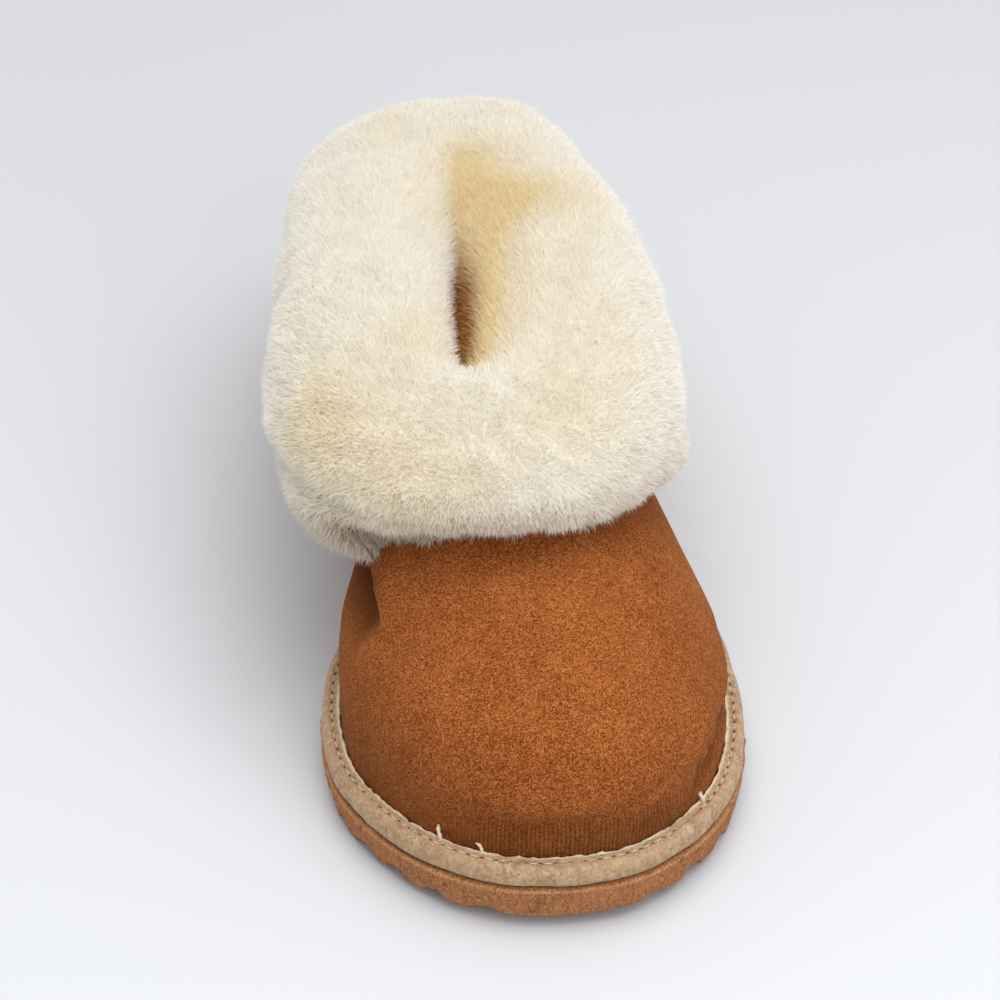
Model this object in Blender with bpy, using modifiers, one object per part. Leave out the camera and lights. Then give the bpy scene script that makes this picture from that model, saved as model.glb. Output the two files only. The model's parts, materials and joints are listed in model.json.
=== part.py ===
"""Sheepskin slipper, left foot: rippled outsole, wrapped midsole, suede upper, fleece cuff and insole.

The toe points to -Y, the outer side of the foot is +X, and the flats of the sole stand on z = 0.
Tables are in millimetres, and MM turns them into Blender's metres where a mesh is made.
"""
import math

import bmesh
import bpy
import numpy as np
from mathutils import Vector

MM = 0.001

# Driving sizes
OUTSOLE_THICKNESS = 10.2
MIDSOLE_THICKNESS = 4.6
LIP_HEIGHT = 6.8
LIP_WIDTH = 4.9
UPPER_WALL = 2.4
INSOLE_THICKNESS = 6.5
GAP = 0.3
TOE_SPRING = 4.0
SPRING_START_Y = -62.0
SEAM_STEP = 0.9

OUTSOLE_TOP = OUTSOLE_THICKNESS
MIDSOLE_BOTTOM = OUTSOLE_TOP + GAP
MIDSOLE_TOP = MIDSOLE_BOTTOM + MIDSOLE_THICKNESS
LIP_TOP = MIDSOLE_BOTTOM + LIP_HEIGHT
FEATHER_Z = MIDSOLE_TOP + GAP
FEATHER_INSET = LIP_WIDTH + GAP

# Plan of the midsole edge, in order from the toe tip round the outer side to the heel and back
OUTLINE = (
    # place            x       y
    ("toe tip", -4.0, -133.0),
    ("little toes", 20.0, -129.5),
    ("outer toe corner", 41.0, -111.0),
    ("outer ball", 51.5, -85.0),
    ("outer ball end", 53.5, -53.5),
    ("outer waist front", 48.0, -17.0),
    ("outer waist", 43.5, 25.0),
    ("outer heel", 41.5, 72.0),
    ("outer heel corner", 34.5, 108.0),
    ("heel outside", 18.5, 128.5),
    ("heel tip", 0.0, 133.0),
    ("heel inside", -18.5, 128.5),
    ("inner heel corner", -34.5, 108.0),
    ("inner heel", -40.5, 72.0),
    ("inner waist", -39.0, 25.0),
    ("inner waist front", -42.0, -17.0),
    ("inner ball end", -54.0, -51.5),
    ("inner ball", -54.8, -83.5),
    ("inner toe corner", -43.5, -108.5),
    ("big toe", -26.0, -126.0),
)

# Rings of the upper above the feather edge, up to the collar. Each gives the x, y and z of its front and back,
# its reach to the outer and inner side, the height of its sides, and oval, 0 for footprint, 1 for ellipse.
UPPER_RINGS = (
    # name          front_x   y      z      back_x   y      z      outer inner  side_z  oval
    ("gathered band", (0.0, -128.2, 26.5, 0.0, 128.8, 24.5, 48.5, 50.0, 24.5, 0.02)),
    ("toe bulge", (0.0, -128.6, 35.0, 0.0, 129.8, 29.5, 47.8, 50.4, 30.0, 0.05)),
    ("toe cap", (-0.5, -121.0, 47.5, 0.0, 130.0, 35.0, 44.4, 48.8, 36.0, 0.12)),
    ("toe top", (-1.0, -104.0, 55.5, 0.0, 129.2, 41.0, 40.4, 46.0, 42.0, 0.22)),
    ("vamp", (-2.0, -81.0, 62.0, 0.0, 127.6, 47.0, 36.6, 42.4, 48.5, 0.34)),
    ("cuff edge", (-3.5, -61.0, 69.5, -0.5, 125.2, 54.0, 33.4, 39.4, 56.0, 0.48)),
    ("throat", (-5.5, -50.0, 76.5, -1.0, 121.0, 61.5, 30.6, 36.4, 66.0, 0.64)),
    ("neck", (-7.0, -43.0, 83.5, -1.5, 114.5, 69.0, 27.6, 32.2, 77.0, 0.82)),
    ("collar", (-8.0, -38.0, 91.0, -2.0, 106.0, 77.0, 25.0, 27.0, 88.0, 0.96)),
)
UPPER_ROWS = 19
COLUMNS_PER_SIDE = 26
SEAM_COLUMN = 10
SEAM_WIDTH = 0.010

# Hem of the fleece cuff, toe to heel: which ring of the upper it lies on. It hangs low at the inner ball.
HEM_LINE = (
    # share  outer  inner
    (0.00, 7.20, 7.20),
    (0.06, 7.20, 7.15),
    (0.12, 7.10, 7.00),
    (0.20, 6.85, 6.60),
    (0.27, 6.40, 6.00),
    (0.38, 5.95, 5.90),
    (0.60, 6.00, 6.00),
    (1.00, 6.40, 6.40),
)
HEM_HEIGHT = 7.5
HEM_SLANT = 0.7
COVER_STEP = 0.12
COVER_GAP = 0.5

# Fleece cuff above the hem: rings up the outside, over the crown and down into the slit
CUFF_RINGS = (
    # name         front_x   y      z     back_x   y      z     outer inner side_z  oval
    ("swell", (-6.0, -72.5, 82.0, -1.0, 129.0, 56.0, 51.5, 60.0, 61.0, 0.42)),
    ("belly", (-7.0, -71.5, 92.0, -1.0, 129.5, 67.0, 53.0, 62.5, 75.0, 0.48)),
    ("shoulder", (-8.0, -62.0, 101.0, -1.0, 122.0, 78.5, 48.5, 57.5, 90.0, 0.58)),
    ("crown", (-10.0, -47.0, 107.0, 0.0, 106.5, 86.5, 38.5, 45.0, 101.0, 0.74)),
    ("crown inside", (-13.0, -34.0, 106.0, 1.0, 90.0, 89.0, 23.5, 26.5, 104.0, 0.88)),
    ("slit lip", (-15.5, -29.0, 99.0, 3.0, 68.0, 87.5, 7.0, 7.0, 98.0, 0.96)),
    ("slit wall", (-14.5, -26.0, 86.0, 2.0, 66.0, 75.0, 6.0, 6.0, 84.0, 0.96)),
    ("lining", (-10.0, -23.0, 74.0, 0.0, 84.0, 62.0, 12.0, 12.0, 70.0, 0.92)),
)
LUMP_HEIGHT = 1.6
DIMPLES = (
    # place         x     y     z     reach depth
    ("outer back", (24.0, 74.0, 97.0), 22.0, 3.2),
    ("slit end", (6.0, 70.0, 94.0), 15.0, 2.0),
)
LOCK_RADIUS = 6.6
LOCK_REACH = 4.2
HEM_LOCK_RADIUS = 4.6
SURFACE_LOCKS = 42
HEM_LOCKS = 38

# Ripples under the outsole
RIPPLE_PITCH = 10.4
RIPPLE_DEPTH = 3.4
RIPPLE_MOUTH = 6.0
RIPPLE_FLOOR = 2.0
RIPPLE_FLARE = 0.5
BELOW_SOLE = 0.6
FIRST_RIPPLE_Y = -109.2
RIPPLE_COUNT = 22


def catmull(values, places, closed):
    """Read a smooth curve through the rows of values at fractional row numbers."""
    rows = np.asarray(values, float)
    count = len(rows)
    places = np.asarray(places, float)
    start = np.floor(places).astype(int)
    if not closed:
        start = np.clip(start, 0, count - 2)
    blend = (places - start)[:, None]
    picked = []
    for step in (-1, 0, 1, 2):
        index = start + step
        if closed:
            picked.append(rows[index % count])
        elif step == -1:
            inner = rows[np.clip(index, 0, count - 1)]
            picked.append(np.where((index < 0)[:, None], 2 * rows[0] - rows[1], inner))
        else:
            inner = rows[np.clip(index, 0, count - 1)]
            picked.append(np.where((index > count - 1)[:, None], 2 * rows[-1] - rows[-2], inner))
    before, here, after, beyond = picked
    return 0.5 * (
        2 * here
        + (after - before) * blend
        + (2 * before - 5 * here + 4 * after - beyond) * blend**2
        + (3 * here - before - 3 * after + beyond) * blend**3
    )


def along_side(points, fractions):
    """Points at the given fractions of the length of an open line."""
    lengths = np.linalg.norm(np.diff(points, axis=0), axis=1)
    travelled = np.concatenate([[0.0], np.cumsum(lengths)])
    travelled /= travelled[-1]
    return np.stack([np.interp(fractions, travelled, points[:, axis]) for axis in range(points.shape[1])], 1)


def outline_at(fractions):
    """Plan points at fractions from toe to heel, down the outer side and back up the inner side."""
    dense = catmull([(x, y) for name, x, y in OUTLINE], np.linspace(0, len(OUTLINE), 2400, endpoint=False), True)
    toe = int(np.argmin(dense[:, 1]))
    dense = np.roll(dense, -toe, axis=0)
    heel = int(np.argmax(dense[:, 1]))
    outer = along_side(dense[: heel + 1], fractions)
    inner = along_side(np.vstack([dense[heel:], dense[:1]])[::-1], fractions)
    return np.vstack([outer, inner[1:-1][::-1]])


def inset(plan, distance):
    """Move a closed plan line inwards by a distance."""
    forward = np.roll(plan, -1, axis=0) - np.roll(plan, 1, axis=0)
    forward /= np.linalg.norm(forward, axis=1)[:, None]
    outward = np.stack([-forward[:, 1], forward[:, 0]], 1)
    return plan + outward * np.where(signed_area(plan) > 0, 1.0, -1.0) * distance


def signed_area(plan):
    """Area of a closed plan line, positive where it runs counter-clockwise."""
    ahead = np.roll(plan, -1, axis=0)
    return 0.5 * float(np.sum(plan[:, 0] * ahead[:, 1] - plan[:, 1] * ahead[:, 0]))


def lift(y):
    """Toe spring: how far the sole plane has risen at a place along the shoe."""
    reach = np.clip((SPRING_START_Y - y) / (SPRING_START_Y + 133.0), 0.0, None)
    return TOE_SPRING * reach**2


def side_fractions():
    """Column places from toe to heel: even, with a close pair where the side seam steps."""
    even = np.linspace(0.0, 1.0, COLUMNS_PER_SIDE + 1)
    seam = even[SEAM_COLUMN]
    return np.sort(np.concatenate([np.delete(even, SEAM_COLUMN), [seam, seam + SEAM_WIDTH]]))


FRACTIONS = side_fractions()
SIDE_POINTS = len(FRACTIONS)


def footprint():
    """The feather edge as shape only: x from -1 to 1 and y from 0 at the toe to 1 at the heel."""
    plan = FEATHER_PLAN
    x = np.where(plan[:, 0] > 0, plan[:, 0] / plan[:, 0].max(), plan[:, 0] / -plan[:, 0].min())
    y = (plan[:, 1] - plan[:, 1].min()) / np.ptp(plan[:, 1])
    return x, y


def oval():
    """An ellipse with the same columns as the footprint."""
    turn = np.concatenate([FRACTIONS, 2.0 - FRACTIONS[1:-1][::-1]]) * math.pi
    return np.sin(turn), (1.0 - np.cos(turn)) / 2.0


FEATHER_PLAN = inset(outline_at(FRACTIONS), FEATHER_INSET)
FOOT_X, FOOT_Y = footprint()
OVAL_X, OVAL_Y = oval()


def ring(row):
    """One closed ring of points from a table row."""
    front_x, front_y, front_z, back_x, back_y, back_z, outer, inner, side_z, roundness = row
    x = (1 - roundness) * FOOT_X + roundness * OVAL_X
    along = (1 - roundness) * FOOT_Y + roundness * OVAL_Y
    y = front_y + along * (back_y - front_y)
    bend = 2 * side_z - (front_z + back_z) / 2
    z = (1 - along) ** 2 * front_z + 2 * along * (1 - along) * bend + along**2 * back_z
    x = np.where(x > 0, x * outer, x * inner) + (1 - along) * front_x + along * back_x
    return np.stack([x, y, z], 1)


def feather_row(z):
    """Table row of a flat ring that follows the feather edge at a height."""
    low, high = FEATHER_PLAN.min(axis=0), FEATHER_PLAN.max(axis=0)
    return (0.0, low[1], z, 0.0, high[1], z, high[0], -low[0], z, 0.0)


def grid_normals(grid):
    """Outward directions on a grid of rings that run toe, outer side, heel, inner side."""
    around = np.roll(grid, -1, axis=1) - np.roll(grid, 1, axis=1)
    up = np.gradient(grid, axis=0)
    normal = np.cross(around, up)
    return normal / np.linalg.norm(normal, axis=2)[:, :, None]


def upper_grid():
    """Outer face of the upper, ring by ring, with the vamp one step prouder than the quarters."""
    table = [feather_row(FEATHER_Z), feather_row(LIP_TOP + 1.0)] + [row for name, row in UPPER_RINGS]
    rows = catmull(table, np.linspace(0, len(table) - 1, UPPER_ROWS), False)
    grid = np.array([ring(row) for row in rows])
    columns = grid.shape[1]
    outer_seam = SEAM_COLUMN
    proud = np.zeros(columns)
    proud[: outer_seam + 1] = 1.0
    proud[columns - outer_seam :] = 1.0
    fade = np.clip((np.arange(UPPER_ROWS) - 1.5) / 2.0, 0.0, 1.0)
    return grid + grid_normals(grid) * (SEAM_STEP * fade[:, None] * proud[None, :])[:, :, None]


def new_object(name, mesh, collection, material=None):
    """Link a mesh to the scene as a named object."""
    thing = bpy.data.objects.new(name, mesh)
    collection.objects.link(thing)
    if material is not None:
        mesh.materials.append(material)
    return thing


def new_material(name, colour, roughness):
    """A plain Principled material."""
    material = bpy.data.materials.new(name)
    material.use_nodes = True
    shader = material.node_tree.nodes["Principled BSDF"]
    shader.inputs["Base Color"].default_value = (*colour, 1.0)
    shader.inputs["Roughness"].default_value = roughness
    shader.inputs["Metallic"].default_value = 0.0
    return material


def ring_loft(name, rings, closed_section=False, caps=False):
    """A mesh through closed rings of equal count, closed into a tube, capped or left open."""
    shape = bmesh.new()
    loops = []
    for points in rings:
        loops.append([shape.verts.new(Vector(point) * MM) for point in points])
    count = len(loops[0])
    pairs = list(zip(loops, loops[1:]))
    if closed_section:
        pairs.append((loops[-1], loops[0]))
    for low, high in pairs:
        for here in range(count):
            ahead = (here + 1) % count
            shape.faces.new((low[here], low[ahead], high[ahead], high[here]))
    if caps:
        shape.faces.new(loops[0][::-1])
        shape.faces.new(loops[-1])
    mesh = bpy.data.meshes.new(name)
    shape.to_mesh(mesh)
    shape.free()
    return mesh


def raise_toe(mesh):
    """Bend a mesh up by the toe spring, after cutting cross lines that let flat faces follow it."""
    shape = bmesh.new()
    shape.from_mesh(mesh)
    for place in np.arange(SPRING_START_Y, -130.0, -9.0):
        everything = shape.verts[:] + shape.edges[:] + shape.faces[:]
        bmesh.ops.bisect_plane(
            shape, geom=everything, dist=1e-6, plane_co=(0, place * MM, 0), plane_no=(0, 1, 0)
        )
    for vertex in shape.verts:
        vertex.co.z += float(lift(vertex.co.y / MM)) * MM
    shape.to_mesh(mesh)
    shape.free()


def applied(thing):
    """Bake an object's modifiers into its own mesh."""
    bpy.context.view_layer.update()
    evaluated = thing.evaluated_get(bpy.context.evaluated_depsgraph_get())
    mesh = bpy.data.meshes.new_from_object(evaluated)
    thing.modifiers.clear()
    thing.data = mesh
    return mesh


def boolean(thing, other, operation, self_cut=False):
    """Cut or join one mesh object with another, exactly."""
    step = thing.modifiers.new(operation.lower(), "BOOLEAN")
    step.operation = operation
    step.object = other
    step.solver = "EXACT"
    step.use_self = self_cut
    other.hide_render = True
    other.display_type = "WIRE"


def profile_rings(plan, profile):
    """Rings that follow one plan line at each inset and height of a profile."""
    rings = []
    for distance, z in profile:
        line = inset(plan, distance)
        rings.append(np.column_stack([line, np.full(len(line), z)]))
    return rings


def make_outsole(parts, cutters):
    """Foam-rubber unit: a slab with cross ripples that notch its side edges."""
    plan = outline_at(FRACTIONS)
    profile = (
        # inset  z
        (2.2, 0.0),
        (0.4, 4.2),
        (-0.3, OUTSOLE_TOP - 0.6),
        (0.2, OUTSOLE_TOP),
    )
    mesh = ring_loft("outsole", profile_rings(plan, profile), caps=True)
    outsole = new_object("outsole", mesh, parts, new_material("tan_foam_rubber", (0.50, 0.24, 0.11), 0.85))
    shape = bmesh.new()
    half = 70.0
    corners = (
        (-RIPPLE_MOUTH / 2 - RIPPLE_FLARE, -BELOW_SOLE),
        (RIPPLE_MOUTH / 2 + RIPPLE_FLARE, -BELOW_SOLE),
        (RIPPLE_FLOOR / 2, RIPPLE_DEPTH),
        (-RIPPLE_FLOOR / 2, RIPPLE_DEPTH),
    )
    ends = [[shape.verts.new(Vector((x, y, z)) * MM) for y, z in corners] for x in (-half, half)]
    shape.faces.new(ends[0][::-1])
    shape.faces.new(ends[1])
    for here in range(4):
        ahead = (here + 1) % 4
        shape.faces.new((ends[0][here], ends[0][ahead], ends[1][ahead], ends[1][here]))
    bmesh.ops.recalc_face_normals(shape, faces=shape.faces)
    groove = bpy.data.meshes.new("ripple_groove")
    shape.to_mesh(groove)
    shape.free()
    cutter = new_object("ripple_groove", groove, cutters)
    cutter.location.y = FIRST_RIPPLE_Y * MM
    row = cutter.modifiers.new("row", "ARRAY")
    row.count = RIPPLE_COUNT
    row.use_relative_offset = False
    row.use_constant_offset = True
    row.constant_offset_displace = (0.0, RIPPLE_PITCH * MM, 0.0)
    row.merge_threshold = 0.0001
    boolean(outsole, cutter, "DIFFERENCE")
    raise_toe(applied(outsole))
    return outsole


def make_midsole(parts):
    """Foam board in its suede wrap: a rounded lip that rises round the foot of the upper."""
    plan = outline_at(FRACTIONS)
    profile = (
        # inset  z
        (1.3, MIDSOLE_BOTTOM),
        (0.3, MIDSOLE_BOTTOM + 0.9),
        (0.0, MIDSOLE_BOTTOM + 2.2),
        (0.3, LIP_TOP - 1.9),
        (1.3, LIP_TOP - 0.5),
        (2.7, LIP_TOP),
        (LIP_WIDTH - 0.5, LIP_TOP - 0.3),
        (LIP_WIDTH, LIP_TOP - 0.8),
        (LIP_WIDTH, MIDSOLE_TOP),
    )
    mesh = ring_loft("midsole", profile_rings(plan, profile), caps=True)
    raise_toe(mesh)
    return new_object("midsole", mesh, parts, new_material("beige_suede", (0.56, 0.38, 0.22), 0.9))


def make_insole(parts):
    """Sheepskin footbed, inside the upper's wall."""
    plan = outline_at(FRACTIONS)
    edge = FEATHER_INSET + UPPER_WALL + 2 * GAP
    top = FEATHER_Z + INSOLE_THICKNESS
    profile = (
        (edge, FEATHER_Z),
        (edge, top - 2.0),
        (edge + 1.0, top - 0.5),
        (edge + 4.0, top),
    )
    mesh = ring_loft("insole", profile_rings(plan, profile), caps=True)
    raise_toe(mesh)
    return new_object("insole", mesh, parts, new_material("sheepskin_insole", (0.80, 0.70, 0.52), 1.0))


def with_lift(grid):
    """The same grid, raised by the toe spring."""
    raised = grid.copy()
    raised[..., 2] += lift(grid[..., 1])
    return raised


def make_upper(parts):
    """One wall of suede sheepskin, open at the collar and underneath."""
    mesh = ring_loft("upper", with_lift(upper_grid()))
    upper = new_object("upper", mesh, parts, new_material("chestnut_suede", (0.40, 0.13, 0.035), 0.9))
    wall = upper.modifiers.new("wall", "SOLIDIFY")
    wall.thickness = UPPER_WALL * MM
    wall.offset = -1.0
    wall.use_even_offset = True
    return upper


def lumps(grid):
    """Soft swellings and dimples of the fleece, as a height for each grid point."""
    x, y, z = (grid[..., axis] for axis in range(3))
    wave = np.sin(x / 8.1 + y / 11.3) + np.sin(y / 9.2 - z / 7.4 + 1.0) + np.sin(x / 6.7 - z / 9.9 + 2.1)
    height = LUMP_HEIGHT * wave / 3.0
    for name, centre, reach, depth in DIMPLES:
        away = np.linalg.norm(grid - np.array(centre), axis=2)
        height -= depth * np.exp(-((away / reach) ** 2))
    return height


def hem_rows():
    """Row of the upper's grid that the hem lies on, for each column."""
    share, outer, inner = np.array(HEM_LINE).T
    rows_per_ring = (UPPER_ROWS - 1) / (len(UPPER_RINGS) + 1)
    outer_side = np.interp(FRACTIONS, share, outer)
    inner_side = np.interp(FRACTIONS[1:-1][::-1], share, inner)
    return np.concatenate([outer_side, inner_side]) * rows_per_ring


def at_rows(grid, rows):
    """A ring of points read from a grid at one fractional row for each column."""
    return np.array([between(grid, row, column) for column, row in enumerate(rows)])


def lock(shape, root, tip, radius):
    """One tapered four-sided tuft from a root inside the fleece to its tip."""
    axis = (tip - root) / np.linalg.norm(tip - root)
    side = np.cross(axis, (0.0, 0.0, 1.0) if abs(axis[2]) < 0.9 else (1.0, 0.0, 0.0))
    side /= np.linalg.norm(side)
    across = np.cross(axis, side)
    loops = []
    for share, width in ((0.0, 1.0), (0.62, 0.8)):
        centre = root + (tip - root) * share
        loop = []
        for turn in (0.0, 0.5, 1.0, 1.5):
            offset = math.cos(turn * math.pi) * side + math.sin(turn * math.pi) * across
            loop.append(shape.verts.new(Vector(centre + offset * radius * width) * MM))
        loops.append(loop)
    point = shape.verts.new(Vector(tip) * MM)
    shape.faces.new(loops[0][::-1])
    for here in range(4):
        ahead = (here + 1) % 4
        shape.faces.new((loops[0][here], loops[0][ahead], loops[1][ahead], loops[1][here]))
        shape.faces.new((loops[1][here], loops[1][ahead], point))


def between(grid, row, column):
    """A point of a ring grid at fractional row and column places."""
    low, left = int(math.floor(row)), int(math.floor(column))
    high, right = min(low + 1, len(grid) - 1), (left + 1) % grid.shape[1]
    up, along = row - low, column - left
    bottom = grid[low, left] * (1 - along) + grid[low, right] * along
    top = grid[high, left] * (1 - along) + grid[high, right] * along
    return bottom * (1 - up) + top * up


def fleece_locks(cutters, fleece, upper, normals, hem_row):
    """Short locks all over the fleece, and a row that hangs from its hem just clear of the suede."""
    shape = bmesh.new()
    columns = fleece.shape[1]
    outward = grid_normals(fleece)
    for index in range(SURFACE_LOCKS):
        row = 1.2 + 3.4 * ((index * 0.754877) % 1.0)
        column = columns * ((index * 0.569840) % 1.0)
        place = between(fleece, row, column)
        out = between(outward, row, column)
        droop = np.array((0.0, 0.0, -2.5 if row < 3.0 else 0.0))
        lock(shape, place - out * 3.5, place + out * LOCK_REACH + droop, LOCK_RADIUS)
    for index in range(HEM_LOCKS):
        column = columns * (index + 0.35 * math.sin(index * 2.4)) / HEM_LOCKS % columns
        root = between(fleece, 0.45, column) - between(outward, 0.45, column) * 3.0
        lie = 7.0 + 0.6 * math.sin(index * 1.7)
        tip_row = np.interp(column, np.arange(columns), hem_row, period=columns)
        tip_row -= 0.42 + 0.16 * math.sin(index * 3.1)
        tip = between(upper, tip_row, column) + between(normals, tip_row, column) * lie
        lock(shape, root, tip, HEM_LOCK_RADIUS)
    mesh = bpy.data.meshes.new("fleece_locks")
    shape.to_mesh(mesh)
    shape.free()
    return new_object("fleece_locks", mesh, cutters)


def make_cuff(parts, cutters):
    """Turned-down fleece collar: a saddle over the rim of the upper, with locks fused on."""
    upper = upper_grid()
    normals = grid_normals(upper)
    outside = upper + normals * COVER_GAP
    inside = upper - normals * (UPPER_WALL + 2.5 * GAP)
    top = UPPER_ROWS - 1
    hem_row = hem_rows()
    hem = at_rows(upper, hem_row) + at_rows(normals, hem_row) * HEM_HEIGHT
    fleece = np.array([hem] + [ring(row) for name, row in CUFF_RINGS])
    swelling = lumps(fleece)
    swelling[0] *= 0.4
    fleece += grid_normals(fleece) * swelling[:, :, None]
    above_rim = (0.0, 0.0, 1.5 * GAP)
    lining_rows = [inside[row] for row in range(top - 4, top + 1)]
    lowest = int(hem_row.min())
    cover_rows = []
    for row in range(top, lowest, -1):
        clear_of_hem = hem_row + HEM_SLANT + COVER_STEP * (row - lowest)
        cover_rows.append(at_rows(outside, np.minimum(np.maximum(row, clear_of_hem), top)))
    rings = [*fleece, *lining_rows, inside[top] + above_rim, outside[top] + above_rim, *cover_rows]
    mesh = ring_loft("cuff", with_lift(np.array(rings)), closed_section=True)
    cuff = new_object("cuff", mesh, parts, new_material("cream_fleece", (0.83, 0.76, 0.60), 1.0))
    boolean(cuff, fleece_locks(cutters, fleece, upper, normals, hem_row), "UNION", self_cut=True)
    return cuff


def main():
    """Build the slipper."""
    for thing in list(bpy.data.objects):
        bpy.data.objects.remove(thing, do_unlink=True)
    parts = bpy.data.collections.new("sheepskin_slipper")
    cutters = bpy.data.collections.new("cutters")
    bpy.context.scene.collection.children.link(parts)
    bpy.context.scene.collection.children.link(cutters)
    make_outsole(parts, cutters)
    make_midsole(parts)
    make_insole(parts)
    make_upper(parts)
    make_cuff(parts, cutters)


main()
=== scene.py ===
# %% [markdown]
# A sheepskin slipper for the left foot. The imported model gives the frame: five plain solids named outsole,
# midsole, insole, upper and cuff. This lesson dresses them: suede with its nap and gathers, a wrapped and
# stitched lip, a rippled foam-rubber sole and a deep collar of wool. All sizes are in the slipper's own
# millimetres, and MM turns them into Blender's metres where a mesh is made.

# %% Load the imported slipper
import json
import math

import bmesh
import bpy
import numpy as np
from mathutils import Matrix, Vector

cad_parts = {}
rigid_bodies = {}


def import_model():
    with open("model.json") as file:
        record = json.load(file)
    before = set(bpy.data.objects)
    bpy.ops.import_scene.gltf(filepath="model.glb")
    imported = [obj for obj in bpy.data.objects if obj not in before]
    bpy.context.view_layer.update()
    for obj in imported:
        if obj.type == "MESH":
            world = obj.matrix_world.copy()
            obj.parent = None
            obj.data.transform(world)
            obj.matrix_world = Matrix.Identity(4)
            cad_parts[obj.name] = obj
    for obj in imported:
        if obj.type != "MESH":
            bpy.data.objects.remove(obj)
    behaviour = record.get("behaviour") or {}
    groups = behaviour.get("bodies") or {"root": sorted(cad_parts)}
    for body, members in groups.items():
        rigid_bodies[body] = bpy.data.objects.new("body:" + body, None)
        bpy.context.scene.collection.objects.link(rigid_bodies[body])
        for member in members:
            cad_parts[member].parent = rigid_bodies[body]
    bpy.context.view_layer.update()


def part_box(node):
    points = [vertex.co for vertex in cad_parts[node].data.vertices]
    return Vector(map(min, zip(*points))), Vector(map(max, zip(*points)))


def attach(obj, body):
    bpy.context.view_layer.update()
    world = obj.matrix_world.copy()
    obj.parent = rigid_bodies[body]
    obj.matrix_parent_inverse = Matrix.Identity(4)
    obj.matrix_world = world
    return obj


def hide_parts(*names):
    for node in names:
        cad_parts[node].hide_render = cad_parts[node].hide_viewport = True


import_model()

MM = 0.001
BODY = "root"

# %% [markdown]
# A slipper is built round a last, the wooden form of a foot. Its plan outline and a ladder of rings, each
# described by where its front and back stand and how far its sides reach, are enough to rebuild every
# curved piece at any fineness. The tables of the outline, the upper and the hem line are those of the
# solids, so a fine surface keeps their form. The slit in the collar is narrower and shorter than theirs.

# %% Driving sizes of the slipper
GAP = 0.3
OUTSOLE_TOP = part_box("outsole")[1].z / MM
MIDSOLE_BOTTOM = 10.5
MIDSOLE_TOP = 15.1
LIP_TOP = 17.3
LIP_WIDTH = 4.9
FEATHER_Z = MIDSOLE_TOP + GAP
FEATHER_INSET = LIP_WIDTH + GAP
UPPER_WALL = 2.4
INSOLE_THICKNESS = 6.5
TOE_SPRING = 4.0
SPRING_START_Y = -62.0
TOE_Y = -133.0
print("highest point of the packed outsole in mm:", round(OUTSOLE_TOP, 1))

# %% Tables of the outline, the upper and the collar
OUTLINE = (
    # place, x, y
    ("toe tip", -4.0, -133.0),
    ("little toes", 20.0, -129.5),
    ("outer toe corner", 41.0, -111.0),
    ("outer ball", 51.5, -85.0),
    ("outer ball end", 53.5, -53.5),
    ("outer waist front", 48.0, -17.0),
    ("outer waist", 43.5, 25.0),
    ("outer heel", 41.5, 72.0),
    ("outer heel corner", 34.5, 108.0),
    ("heel outside", 18.5, 128.5),
    ("heel tip", 0.0, 133.0),
    ("heel inside", -18.5, 128.5),
    ("inner heel corner", -34.5, 108.0),
    ("inner heel", -40.5, 72.0),
    ("inner waist", -39.0, 25.0),
    ("inner waist front", -42.0, -17.0),
    ("inner ball end", -54.0, -51.5),
    ("inner ball", -54.8, -83.5),
    ("inner toe corner", -43.5, -108.5),
    ("big toe", -26.0, -126.0),
)

UPPER_RINGS = (
    # name, (front x, y, z, back x, y, z, outer reach, inner reach, height of the sides, roundness)
    ("gathered band", (0.0, -128.2, 26.5, 0.0, 128.8, 24.5, 48.5, 50.0, 24.5, 0.02)),
    ("toe bulge", (0.0, -128.6, 35.0, 0.0, 129.8, 29.5, 47.8, 50.4, 30.0, 0.05)),
    ("toe cap", (-0.5, -121.0, 47.5, 0.0, 130.0, 35.0, 44.4, 48.8, 36.0, 0.12)),
    ("toe top", (-1.0, -104.0, 55.5, 0.0, 129.2, 41.0, 40.4, 46.0, 42.0, 0.22)),
    ("vamp", (-2.0, -81.0, 62.0, 0.0, 127.6, 47.0, 36.6, 42.4, 48.5, 0.34)),
    ("cuff edge", (-3.5, -61.0, 69.5, -0.5, 125.2, 54.0, 33.4, 39.4, 56.0, 0.48)),
    ("throat", (-5.5, -50.0, 76.5, -1.0, 121.0, 61.5, 30.6, 36.4, 66.0, 0.64)),
    ("neck", (-7.0, -43.0, 83.5, -1.5, 114.5, 69.0, 27.6, 32.2, 77.0, 0.82)),
    ("collar", (-8.0, -38.0, 91.0, -2.0, 106.0, 77.0, 25.0, 27.0, 88.0, 0.96)),
)
HEM_LINE = (
    # share of the way from toe to heel, then the ring of the upper that the hem lies on, outside and inside
    (0.00, 7.20, 7.20),
    (0.06, 7.20, 7.15),
    (0.12, 7.10, 7.00),
    (0.20, 6.85, 6.60),
    (0.27, 6.40, 6.00),
    (0.38, 5.95, 5.90),
    (0.60, 6.00, 6.00),
    (1.00, 6.40, 6.40),
)
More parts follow.
